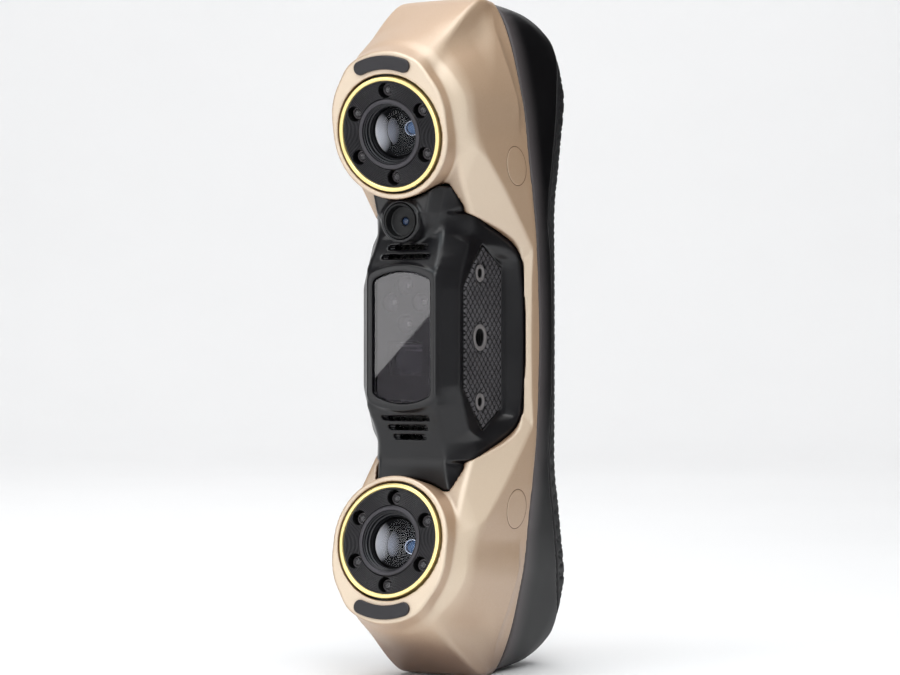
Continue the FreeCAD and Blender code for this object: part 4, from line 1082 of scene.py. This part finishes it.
# ------------------------------------------------------------------ camera modules
# profiles are (radius, height) with height 0 on the pod face
TRIM_PROFILE = [
    (15.55, -0.1), (15.62, 0.22), (15.78, 0.38), (16.1, 0.43), (16.5, 0.42), (16.74, 0.3),
    (16.85, 0.05), (16.85, -3.1), (15.55, -3.1),
]
LIP_PROFILE = [
    (8.93, -0.12), (9.02, 0.16), (9.3, 0.30), (9.9, 0.30), (10.15, 0.18), (10.28, -0.06),
    (10.2, -0.2), (9.2, -0.2),
]
BEZEL_INNER = [
    (8.95, -0.1), (9.05, 0.12), (9.3, 0.26), (9.85, 0.26), (10.1, 0.16), (10.25, -0.05),
    (10.35, -0.28),
]
BEZEL_OUTER = [
    (15.1, -0.28), (15.2, -0.12), (15.42, -0.12), (15.5, -0.3), (15.5, -3.15), (17.4, -3.15),
    (17.4, -5.0), (8.95, -5.0),
]
GROOVE_START, GROOVE_PITCH, GROOVE_COUNT = 10.55, 0.46, 10
LAMP_HOLE = [(0, -7.0), (2.2, -7.0), (2.2, -0.5), (2.55, 1.5), (0, 1.5)]
LAMP_PROFILE = [
    (0, -5.0), (2.1, -5.0), (2.1, -3.4), (1.75, -3.3), (1.75, -2.35), (1.62, -2.2),
    (1.42, -2.2), (1.3, -2.35), (1.3, -3.1), (0, -3.1),
]
BARREL_PROFILE = [
    (8.85, -0.35), (8.85, -16.0), (6.0, -16.0), (6.0, -14.2), (2.2, -14.2), (2.2, -13.6),
    (5.3, -13.6), (5.6, -8.2), (6.6, -8.0), (7.0, -6.9), (7.75, -6.9), (7.75, -4.0),
    (7.95, -3.6), (7.95, -2.6), (8.3, -2.45), (8.3, -1.3), (8.62, -1.1), (8.62, -0.45),
]
INNER_LENS_PROFILE = [
    (0, -7.9), (2.0, -8.0), (3.8, -8.35), (5.0, -8.95), (5.0, -9.3), (2.4, -8.95), (0, -8.8),
]
PUPIL_RING_PROFILE = [
    (1.72, -12.75), (1.8, -12.62), (1.98, -12.62), (2.06, -12.8), (2.06, -13.2), (1.72, -13.2),
]
PUPIL_PROFILE = [(0, -12.55), (0.7, -12.65), (1.3, -12.95), (1.6, -13.3), (1.6, -13.5),
                 (0, -13.5)]
BUMPER_INNER, BUMPER_OUTER, BUMPER_HALF_ANGLE = 18.95, 22.9, math.radians(20.5)
# outline growth, height: from the base to the soft top edge
BUMPER_LEVELS = ((0.02, 0.0), (0.0, 0.35), (0.0, 0.55), (-0.12, 0.68), (-0.35, 0.77),
                 (-0.7, 0.79))


def lamp_places():
    for i in range(LAMP_COUNT):
        angle = math.radians(90 + 360 / LAMP_COUNT * i)
        yield Matrix.Translation((LAMP_CIRCLE * math.cos(angle) * MM,
                                  LAMP_CIRCLE * math.sin(angle) * MM, 0))


def bezel_mesh():
    """Lip, grooved face, outer wall and seat flange, with holes for the lamps."""
    profile = list(BEZEL_INNER)
    for k in range(GROOVE_COUNT):
        r = GROOVE_START + k * GROOVE_PITCH
        profile += [(r, -0.46), (r + 0.08, -0.17), (r + 0.26, -0.17), (r + 0.34, -0.46)]
    ring = lathe(profile + BEZEL_OUTER, 200, 24)
    holes = join([(lathe(LAMP_HOLE, 40, 30), place) for place in lamp_places()])
    mesh = carve(ring, holes)
    sharp_by_angle(mesh, 24)
    return mesh


def lamps(tag, matrix):
    holders, domes = [], []
    bead = [(0.42, -1.95)] + [(0.42 + 0.12 * math.cos(t), -1.83 + 0.12 * math.sin(t))
                              for t in np.linspace(-1.4, 4.3, 8)]
    dome = ([(0, -3.0), (1.26, -3.0), (1.26, -2.3)]
            + [(1.26 * math.cos(t), -2.3 + 0.62 * math.sin(t))
               for t in np.linspace(0.15, 1.45, 7)] + [(0, -1.68)])
    for place in lamp_places():
        holders.append((lathe(LAMP_PROFILE, 40, 30), place))
        holders.append((lathe(bead, 32, 60), place))
        domes.append((lathe(dome, 40, 60), place))
    stand_in("lamps_" + tag, join(holders), "lamp_dark", matrix)
    detail("lamp_domes_" + tag, join(domes), "lamp_white", "lamp_dome", matrix)


def barrel_and_lenses(tag, matrix):
    stand_in("lens_barrel_" + tag, lathe(BARREL_PROFILE, 200, 24), "black_anodised", matrix)
    front_cone = bowed(7.15, -4.4, 5.15, -8.0, 0.35, 8) + [(5.4, -8.2), (7.0, -6.6),
                                                           (7.3, -4.6)]
    detail("lens_cone_front_" + tag, lathe(front_cone, sharp=40), "black_anodised",
           "cone_grey", matrix)
    rear_cone = bowed(5.05, -8.3, 2.05, -12.9, 0.75, 10) + [(2.2, -13.3), (5.25, -9.6),
                                                            (5.25, -8.4)]
    detail("lens_cone_rear_" + tag, lathe(rear_cone, sharp=40), "black_anodised",
           "cone_blue", matrix)
    edge = 1.2  # angle at the rim of the front glass
    front = ([(0, -3.75)]
             + [(7.2 * math.sin(t), -3.75 - 0.75 * (1 - math.cos(t)) / (1 - math.cos(edge)))
                for t in np.linspace(0.1, edge, 10)]
             + [(7.0, -5.2), (4.6, -4.95), (0, -4.8)])
    for node, profile in (("front_lens_", front), ("inner_lens_", INNER_LENS_PROFILE)):
        lens = stand_in(node + tag, lathe(profile, 128, 40), "lens_glass", matrix)
        # light reaches the cones straight through the glass, so they stay free of speckle
        lens.visible_shadow = lens.visible_diffuse = lens.visible_glossy = False
    detail("pupil_ring_" + tag, lathe(PUPIL_RING_PROFILE, 80, 40), "black_anodised",
           "pupil_ring", matrix)
    detail("pupil_glass_" + tag, lathe(PUPIL_PROFILE, 64, 50), "lens_glass", "pupil_glass",
           matrix)


def bumper_mesh():
    """Round-ended rubber arc above the lens."""
    middle = (BUMPER_INNER + BUMPER_OUTER) / 2
    half_width = (BUMPER_OUTER - BUMPER_INNER) / 2
    arc_steps, cap_steps = 40, 10
    points = []
    for growth, z in BUMPER_LEVELS:
        reach = half_width + growth
        for side in (1, -1):  # outer edge and its end cap, then back along the inner edge
            sweep = side * BUMPER_HALF_ANGLE
            for i in range(arc_steps + 1):
                t = math.pi / 2 - sweep + 2 * sweep * i / arc_steps
                r = middle + side * reach
                points.append((r * math.cos(t), r * math.sin(t), z))
            end = math.pi / 2 + sweep
            for i in range(1, cap_steps):
                t = end + (0 if side > 0 else math.pi) + math.pi * i / cap_steps
                points.append((middle * math.cos(end) + reach * math.cos(t),
                               middle * math.sin(end) + reach * math.sin(t), z))
    size = 2 * (arc_steps + cap_steps)
    faces = ring_faces(len(BUMPER_LEVELS), size)
    # top and base: strips across the arc and a fan at each end
    last = 2 * arc_steps + cap_steps
    for o in ((len(BUMPER_LEVELS) - 1) * size, 0):
        faces += [(o + k, o + k + 1, o + last - k - 1, o + last - k) for k in range(arc_steps)]
        faces.append(tuple(range(o + arc_steps, o + arc_steps + cap_steps + 1)))
        faces.append(tuple(range(o + last, o + size)) + (o,))
    return oriented_mesh(points, faces, 50)


def camera_module(tag, matrix):
    stand_in("trim_ring_" + tag, lathe(TRIM_PROFILE, 220), "gold_trim", matrix)
    stand_in("camera_bezel_" + tag, bezel_mesh(), "bezel_black", matrix)
    detail("bezel_lip_" + tag, lathe(LIP_PROFILE, 200), "black_housing", "lip_black", matrix)
    lamps(tag, matrix)
    barrel_and_lenses(tag, matrix)
    stand_in("bumper_" + tag, bumper_mesh(), "black_rubber", matrix, "v_bumper_pad_" + tag)


# the lower module is the upper one turned over: local Y points to the closed end on both
for tag, end in (("upper", 1), ("lower", -1)):
    camera_module(tag, axes_matrix((end, 0, 0), (0, FACE_UP[1], end * FACE_UP[2]),
                                   (0, FACE_OUT[1], end * FACE_OUT[2]),
                                   (0, LENS_Y, end * LENS_Z)))

# ------------------------------------------------------------------ colour camera
RGB_PLACE = facing_front(0.0, -29.75, RGB_Z)
RGB_BEZEL_PROFILE = [
    (4.5, -0.2), (4.6, 0.02), (4.85, 0.08), (5.15, 0.02), (5.3, -0.25), (5.3, -5.2),
    (1.25, -5.2), (1.25, -3.3), (1.5, -3.1), (2.6, -2.9), (4.0, -2.75), (4.3, -2.55),
    (4.42, -1.2),
]
RGB_LENS_PROFILE = [(0, -3.2), (0.5, -3.25), (0.95, -3.5), (1.2, -3.8), (1.2, -5.0), (0, -5.0)]
stand_in("rgb_bezel", lathe(RGB_BEZEL_PROFILE, 128, 24), "boss_black", RGB_PLACE)
stand_in("rgb_lens", lathe(RGB_LENS_PROFILE, 64, 60), "rgb_glass", RGB_PLACE)


# ------------------------------------------------------------------ window
def window_mesh():
    """Plate facing -Y with arched ends and rounded corners."""
    half_width, half_height, edge, steps = 9.6, 19.25, 0.25, 26
    radius = half_height + WINDOW_DROP
    arch = []
    for i in range(steps + 1):
        x = half_width - 2 * half_width * i / steps
        arch.append((x, math.sqrt(radius * radius - x * x) - WINDOW_DROP))
    outline = np.array(arch + [(-x, -z) for x, z in arch])
    for trim in (0.9, 0.4):  # clip the four corners twice
        clipped = []
        for i, point in enumerate(outline):
            before = outline[i - 1] - point
            after = outline[(i + 1) % len(outline)] - point
            l1, l2 = np.linalg.norm(before), np.linalg.norm(after)
            if np.dot(before, after) / (l1 * l2) > -0.96:
                length = min(trim, l1 * 0.45, l2 * 0.45)
                clipped += [point + before / l1 * length, point + after / l2 * length]
            else:
                clipped.append(point)
        outline = np.array(clipped)
    tangent = np.roll(outline, -1, axis=0) - np.roll(outline, 1, axis=0)
    tangent /= np.linalg.norm(tangent, axis=1)[:, None]
    outward = np.stack([tangent[:, 1], -tangent[:, 0]], 1)
    points = []
    for growth, y in ((0.0, WINDOW_BACK), (0.0, WINDOW_FRONT + edge),
                      (-edge * 0.3, WINDOW_FRONT + edge * 0.3), (-edge, WINDOW_FRONT)):
        points += [(x, y, z) for x, z in outline + outward * growth]
    size = len(outline)
    faces = ring_faces(4, size)
    faces += [tuple(range(size)), tuple(range(3 * size, 4 * size))[::-1]]
    return oriented_mesh(points, faces, 14)


def mask_mesh():
    """Plate behind the window with four round openings and a square one."""
    y = (-25.8 + -24.6) / 2
    mesh = block((0.0, y, 0.0), (19.4, 1.2, 37.0), 0.12, profile=0.6)
    for x, z in LAMP_SPOTS:
        tool = lathe([(0, -5), (2.8, -5), (2.8, 5), (0, 5)], 48, 30)
        mesh = carve(mesh, tool, facing_front(x, y, z))
    mesh = carve(mesh, block((0.0, y, (-11.05 + -1.25) / 2), (11.6, 10, 9.8)))
    sharp_by_angle(mesh, 30)
    return mesh


def fill_lamps():
    """Reflector cups with a small white chip in each."""
    cup = ([(0, -1.9), (0.7, -1.9), (1.3, -1.5)]
           + [(1.3 + 1.38 * math.sin(t), -1.5 + 1.6 * (1 - math.cos(t)))
              for t in np.linspace(0.2, 1.45, 8)]
           + [(2.7, 0.1), (2.78, -0.1), (2.78, -2.2), (0, -2.2)])
    cups = join([(lathe(cup, 56, 40), facing_front(x, -25.1, z)) for x, z in LAMP_SPOTS])
    stand_in("fill_lamps", cups, "reflector")
    chips = join([block((x, -23.3, z), (1.5, 0.5, 1.5), 0.15) for x, z in LAMP_SPOTS])
    detail("fill_lamp_chips", chips, "lamp_white", "lamp_white")


def projector_rails():
    """Two polished rails just behind the mask's square opening."""
    rails = [block(((x0 + x1) / 2, -24.15, z), (x1 - x0, 0.6, 0.55), 0.1)
             for x0, x1, z in ((-4.2, 5.4, -2.35), (-0.6, 5.4, -3.75))]
    detail("projector_rails", join(rails), "steel", "rail_steel")


stand_in("projector_window", window_mesh(), "window_glass")
stand_in("window_mask", mask_mesh(), "mask_black")
fill_lamps()
projector_rails()


# ------------------------------------------------------------------ grip pads and inserts
def grip_pad(node, side, holes):
    """Hexagonal pad of raised pyramids: a height field over a fine grid in the YZ plane."""
    base, floor, crown, border = 15.42, 15.95, 0.85, 15.75
    y, z = np.meshgrid(np.arange(-20.9, 2.2 + PAD_STEP, PAD_STEP),
                       np.arange(-27.3, 27.3 + PAD_STEP, PAD_STEP), indexing="ij")
    d = pad_outline(y, z)
    height = floor + crown * ease(0, 1, (1.0 - lattice(y / LATTICE_Y, z / LATTICE_Z) - 0.08) / 0.2)
    height = border + (height - border) * ease(0.0, -0.5, d)
    keep = d < 0.05
    for hole_z, radius in holes:  # a plain collar round each opening
        reach = np.sqrt((y - MOUNT_Y) ** 2 + (z - hole_z) ** 2)
        collar = ease(radius + 1.15, radius + 0.75, reach)
        height = height * (1 - collar) + 16.25 * collar
        height = np.where(reach < radius, 15.8, height)
        keep &= reach > radius - 0.02
    count = keep.sum()
    index = np.full(y.shape, -1)
    index[keep] = np.arange(count)
    top = np.stack([side * height[keep], y[keep], z[keep]], 1)
    bottom = np.stack([side * np.full(count, base), y[keep], z[keep]], 1)
    quads = np.stack([index[:-1, :-1], index[1:, :-1], index[1:, 1:], index[:-1, 1:]], -1)
    quads = quads.reshape(-1, 4)
    quads = quads[(quads >= 0).all(1)]
    # outline edges of the kept cells become side walls
    edges = np.concatenate([quads[:, [k, (k + 1) % 4]] for k in range(4)]).tolist()
    known = {tuple(e) for e in edges}
    walls = [(a + count, b + count, b, a) for a, b in edges if (b, a) not in known]
    mesh = quad_mesh(np.concatenate([top, bottom]),
                     np.concatenate([quads, quads[:, ::-1] + count, np.array(walls)]))
    bm = bmesh.new()
    bm.from_mesh(mesh)
    bmesh.ops.recalc_face_normals(bm, faces=bm.faces)
    bmesh.ops.delete(bm, geom=[v for v in bm.verts if not v.link_faces], context="VERTS")
    bm.to_mesh(mesh)
    bm.free()
    sharp_by_angle(mesh, 60)
    stand_in(node, mesh, "pad_rubber")


def thread(crest, root, bottom, rise, pitch, turns):
    return [point for k in range(turns) for point in (
        (crest, bottom + k * pitch), (root, bottom + rise + k * pitch))]


TRIPOD_PROFILE = [
    (2.62, -0.5), (2.75, 0.05), (3.1, 0.2), (3.7, 0.2), (3.9, 0.1), (3.95, -0.15),
    (3.95, -9.0), (2.55, -9.0),
] + thread(crest=2.55, root=3.05, bottom=-8.8, rise=0.3, pitch=0.635, turns=13)
ACCESSORY_PROFILE = [
    (1.35, -0.4), (1.5, 0.05), (1.75, 0.2), (2.35, 0.2), (2.5, 0.1), (2.55, -0.15),
    (2.55, -7.0), (1.25, -7.0),
] + thread(crest=1.25, root=1.48, bottom=-6.8, rise=0.2, pitch=0.5, turns=12)

grip_pad("grip_pad_right", 1, MOUNTS)
grip_pad("grip_pad_left", -1, ())
stand_in("tripod_insert", lathe(TRIPOD_PROFILE, 96, 30), "insert_steel",
         facing_right(MOUNT_FACE, MOUNT_Y, 0.0))
stand_in("accessory_inserts",
         join([(lathe(ACCESSORY_PROFILE, 72, 30), facing_right(MOUNT_FACE, MOUNT_Y, z))
               for z, _ in MOUNTS[1:]]), "insert_steel")


# ------------------------------------------------------------------ side plugs
def casing_x(y, z):
    """Outer x of the front casing at points (y, z), by bisection."""
    low, high = np.full(y.shape, 16.0), np.full(y.shape, 26.0)
    section = Section(z)
    for _ in range(34):
        middle = (low + high) / 2
        inside = front_surface(middle, y, z, section) < 0
        low = np.where(inside, middle, low)
        high = np.where(inside, high, middle)
    return (low + high) / 2


def ring_on_casing(side, end, radius, lift, count):
    """Circle about a plug centre, lifted off the casing."""
    t = np.arange(count) * 2 * math.pi / count
    y, z = PLUG_Y + radius * np.cos(t), PLUG_Z * end + radius * np.sin(t)
    return list(zip((casing_x(y, z) + lift) * side, y, z))


def plug(side, end):
    """Disc that follows the casing, closed by a flat inner face."""
    count, inner_x = 96, 22.0 * side
    # radius, lift off the casing
    rings = ((1.5, 0.09), (3.0, 0.09), (4.5, 0.09), (5.3, 0.09), (5.62, 0.08), (5.72, 0.03),
             (PLUG_RADIUS, -0.2))
    points = ring_on_casing(side, end, 0.0, 0.09, 1)
    for radius, lift in rings:
        points += ring_on_casing(side, end, radius, lift, count)
    points += [(inner_x, y, z) for _, y, z in points[-count:]]
    points.append((inner_x, PLUG_Y, PLUG_Z * end))
    start = 1 + len(rings) * count
    faces = [(0, 1 + i, 1 + (i + 1) % count) for i in range(count)]
    faces += ring_faces(len(rings) + 1, count, start=1)
    faces += [(start + i, len(points) - 1, start + (i + 1) % count) for i in range(count)]
    return oriented_mesh(points, faces)


def plug_gap(side, end):
    """Hairline joint round one plug."""
    count, points = 120, []
    for radius, lift in ((5.70, -0.1), (5.78, 0.055), (5.93, 0.055), (5.99, -0.1)):
        points += ring_on_casing(side, end, radius, lift, count)
    return oriented_mesh(points, ring_faces(4, count, closed=True))


CORNERS = ((1, 1), (1, -1), (-1, 1), (-1, -1))
plugs = join([plug(*corner) for corner in CORNERS])
sharp_by_angle(plugs, 50)
stand_in("side_plugs", plugs, "gold_shell")
detail("plug_gaps", join([plug_gap(*corner) for corner in CORNERS]), "gold_shell", "plug_gap")


# ------------------------------------------------------------------ keys
def key_mesh(radius):
    """Dished cap on a narrower stem."""
    profile = [(radius * 0.86 * k / 6.0, -0.32 * (1 - (k / 6.0) ** 2)) for k in range(7)]
    profile += [
        (radius - 0.55, -0.02), (radius - 0.25, -0.12), (radius - 0.06, -0.35),
        (radius, -0.8), (radius, -2.15), (radius - 1.0, -2.15), (radius - 1.0, -4.7),
        (1.3, -4.7), (1.3, -5.75), (0, -5.75),
    ]
    return lathe(profile, 120, 35)


def icon_mesh(z, bars):
    """Small raised pictogram in the key face."""
    y, thick = 33.82, 0.2
    bm = bmesh.new()
    for width, height in bars:
        add_box(bm, (0.0, y, z), (width, thick, height))
    if not bars:
        made = bmesh.ops.create_cone(bm, segments=3, radius1=2.1 * MM, radius2=2.1 * MM,
                                     depth=thick * MM, cap_ends=True)
        turn = Matrix.Rotation(math.radians(-90), 4, "X")
        for v in made["verts"]:
            v.co = turn @ v.co + Vector((0, y * MM, z * MM))
    round_edges(bm, 0.05)
    return bm_to_mesh(bm)


for node, z, radius, bars in KEYS:
    place = axes_matrix((-1, 0, 0), (0, 0, 1), (0, 1, 0), (0.0, KEY_TOP, z))
    stand_in(node, key_mesh(radius), "key_black", place)
    detail(node + "_icon", icon_mesh(z, bars), "lamp_white", "lamp_white", body=body_for(node))

# softened edges on the kept CAD nodes
for node in ("port_bezel", "usb_socket", "optical_bench", "heat_sink", "main_board",
             "status_light", "projector_body", "insert_carrier"):
    soft = nodes[node].modifiers.new("soft", "BEVEL")
    soft.width = 0.00015
    soft.segments = 2
    soft.limit_method = "ANGLE"
    soft.angle_limit = math.radians(40)

# ------------------------------------------------------------------ stage, metres
VIEW_ANGLE = math.radians(29.8)         # camera's swing towards +X from the front
CAMERA_DISTANCE = 0.8
RIGHT = Vector((math.cos(VIEW_ANGLE), math.sin(VIEW_ANGLE), 0))
TOWARD = Vector((math.sin(VIEW_ANGLE), -math.cos(VIEW_ANGLE), 0))
UP = Vector((0, 0, 1))


def at(right, toward, up):
    """Point by the camera's right, the way towards the camera, and up."""
    return RIGHT * right + TOWARD * toward + UP * up


def floor_mesh():
    """Seamless floor that curves up behind the object."""
    level, back, radius, top = -0.10152, 2.2, 0.8, 6.0
    profile = [(-4.0, level), (-1.0, level), (back - radius, level)]
    for i in range(1, 17):
        t = math.pi / 2 * i / 16
        profile.append((back - radius + radius * math.sin(t),
                        level + radius - radius * math.cos(t)))
    profile.append((back, top))
    widths = (-6, -2, -0.5, 0.5, 2, 6)
    count = len(widths)
    points = [at(w, -away, z) for away, z in profile for w in widths]
    faces = [(a + i, a + i + 1, a + count + i + 1, a + count + i)
             for a in range(0, (len(profile) - 1) * count, count) for i in range(count - 1)]
    mesh = oriented_mesh(points, faces, scale=1.0)
    shade_smooth(mesh)
    return mesh


def floor_paint():
    m = Material("studio_floor")
    cloud = m.patches(scale=3.0, detail=3, start=0.3, end=0.7)
    m.set(Base_Color=m.mix(cloud, (0.86, 0.86, 0.865, 1), (0.84, 0.84, 0.845, 1)),
          Roughness=0.65, Specular_IOR_Level=0.2)
    return m


def stage_piece(name, mesh, material, hidden_from=()):
    ob = add_object(name, mesh)
    dress(ob, material)
    for ray in hidden_from:
        setattr(ob, "visible_" + ray, False)


stage_piece("floor", floor_mesh(), floor_paint())

camera_data = bpy.data.cameras.new("camera")
camera_data.sensor_width = 36.0
camera_data.lens = 105.92
camera = bpy.data.objects.new("camera", camera_data)
bpy.context.scene.collection.objects.link(camera)
camera.location = TOWARD * CAMERA_DISTANCE
camera.rotation_euler = (math.radians(90), 0, VIEW_ANGLE)
bpy.context.scene.camera = camera


def studio_world():
    """Dim surround, grey below and white above."""
    world = bpy.data.worlds.new("studio")
    bpy.context.scene.world = world
    world.use_nodes = True
    tree = world.node_tree
    coords = tree.nodes.new("ShaderNodeTexCoord")
    split = tree.nodes.new("ShaderNodeSeparateXYZ")
    height = tree.nodes.new("ShaderNodeMapRange")
    height.inputs["From Min"].default_value = -1.0
    height.inputs["From Max"].default_value = 1.0
    ramp = tree.nodes.new("ShaderNodeValToRGB")
    low, high = ramp.color_ramp.elements
    low.position, low.color = 0.3, (0.55, 0.55, 0.56, 1)
    high.position, high.color = 0.9, (1.0, 1.0, 1.0, 1)
    background = tree.nodes["Background"]
    background.inputs["Strength"].default_value = 0.13
    tree.links.new(coords.outputs["Generated"], split.inputs[0])
    tree.links.new(split.outputs["Z"], height.inputs[0])
    tree.links.new(height.outputs[0], ramp.inputs[0])
    tree.links.new(ramp.outputs[0], background.inputs["Color"])


studio_world()

WHITE = (1, 1, 1)
# name, place and target (right, toward, up), width, height, power (W), colour
LIGHTS = (
    ("key_top_left", (-0.55, 0.85, 1.0), (0, 0, 0.02), 0.75, 0.75, 3.7, (0.84, 0.95, 1.0)),
    ("front_fill", (-0.45, 1.5, 0.1), (0, 0, 0), 0.8, 0.8, 7.0, WHITE),
    ("side_strip", (1.2, 0.1, 0.25), (0, 0, 0), 0.16, 1.2, 1.2, WHITE),
    ("back_wash", (0.0, -0.2, 2.2), (0, -1.6, 0.4), 2.6, 2.6, 60.0, WHITE),
    ("left_box", (-1.15, 0.62, 0.0), (0, 0, 0), 0.6, 1.2, 5.5, WHITE),
    ("top_front", (0.12, 1.05, 0.68), (0, 0, 0.03), 0.5, 0.5, 4.6, (0.95, 0.99, 1.0)),
    ("floor_wash", (0.0, 0.6, 1.9), (0, 0.2, -0.1), 1.6, 1.6, 5.0, WHITE),
)
for name, place, target, width, height, power, colour in LIGHTS:
    light = bpy.data.lights.new(name, "AREA")
    light.energy = power
    light.color = colour
    light.shape = "RECTANGLE"
    light.size = width
    light.size_y = height
    ob = bpy.data.objects.new(name, light)
    ob.location = at(*place)
    ob.rotation_euler = (at(*target) - at(*place)).to_track_quat("-Z", "Y").to_euler()
    bpy.context.scene.collection.objects.link(ob)


def flag_black():
    m = Material("flag_black")
    m.set(Base_Color=m.patches(scale=4.0, detail=2, start=0.3, end=0.7, to=(0.006, 0.012)),
          Roughness=0.9, Specular_IOR_Level=0.0)
    return m


def card_light():
    m = Material("card_light", "ShaderNodeEmission")
    m.set(Color=(1, 0.99, 1, 1),
          Strength=m.patches(scale=3.0, detail=2, start=0.3, end=0.7, to=(3.6, 4.0)))
    return m


def mirrored_card(outline, distance):
    """Card whose mirror image, seen by the camera, has this (x, z) outline on the glass, mm."""
    eye = np.array(camera.location) / MM
    image = np.array([eye[0], 2 * WINDOW_FRONT - eye[1], eye[2]])
    points = []
    for x, z in outline:
        spot = np.array([x, WINDOW_FRONT, z])
        points.append(spot + unit(*(spot - image)) * distance)
    return plain_mesh(points, [tuple(range(len(points)))])


# black flag on the right that keeps the flank from mirroring the backdrop
black = flag_black()
flag_corners = [at(0.42, 0.06, -0.6), at(0.42, 0.06, 0.9), at(0.50, -1.0, 0.9),
                at(0.50, -1.0, -0.6)]
stage_piece("flag", plain_mesh(flag_corners, [(0, 1, 2, 3)], scale=1.0), black,
            ("camera", "shadow"))

# a pale card seen only as the slanted reflection in the window, and a black one behind it,
# so that the rest of the glass mirrors nothing bright
PALE_OUTLINE = ((14.7844, 12.0398), (-17.3227, -19.6934), (-25.0306, -12.6475),
                (-25.0306, 29.0148), (14.7844, 28.2862))
BLACK_OUTLINE = ((20.1197, 32.5253), (20.1197, -29.6342), (-29.2668, -30.5842),
                 (-29.2668, 33.5680))
REFLECTION_ONLY = ("camera", "diffuse", "transmission", "shadow")
stage_piece("window_card", mirrored_card(PALE_OUTLINE, 620.0), card_light(), REFLECTION_ONLY)
stage_piece("window_flag", mirrored_card(BLACK_OUTLINE, 650.0), black, REFLECTION_ONLY)

bpy.context.scene.view_settings.view_transform = "Standard"
bpy.context.scene.view_settings.exposure = 0.0
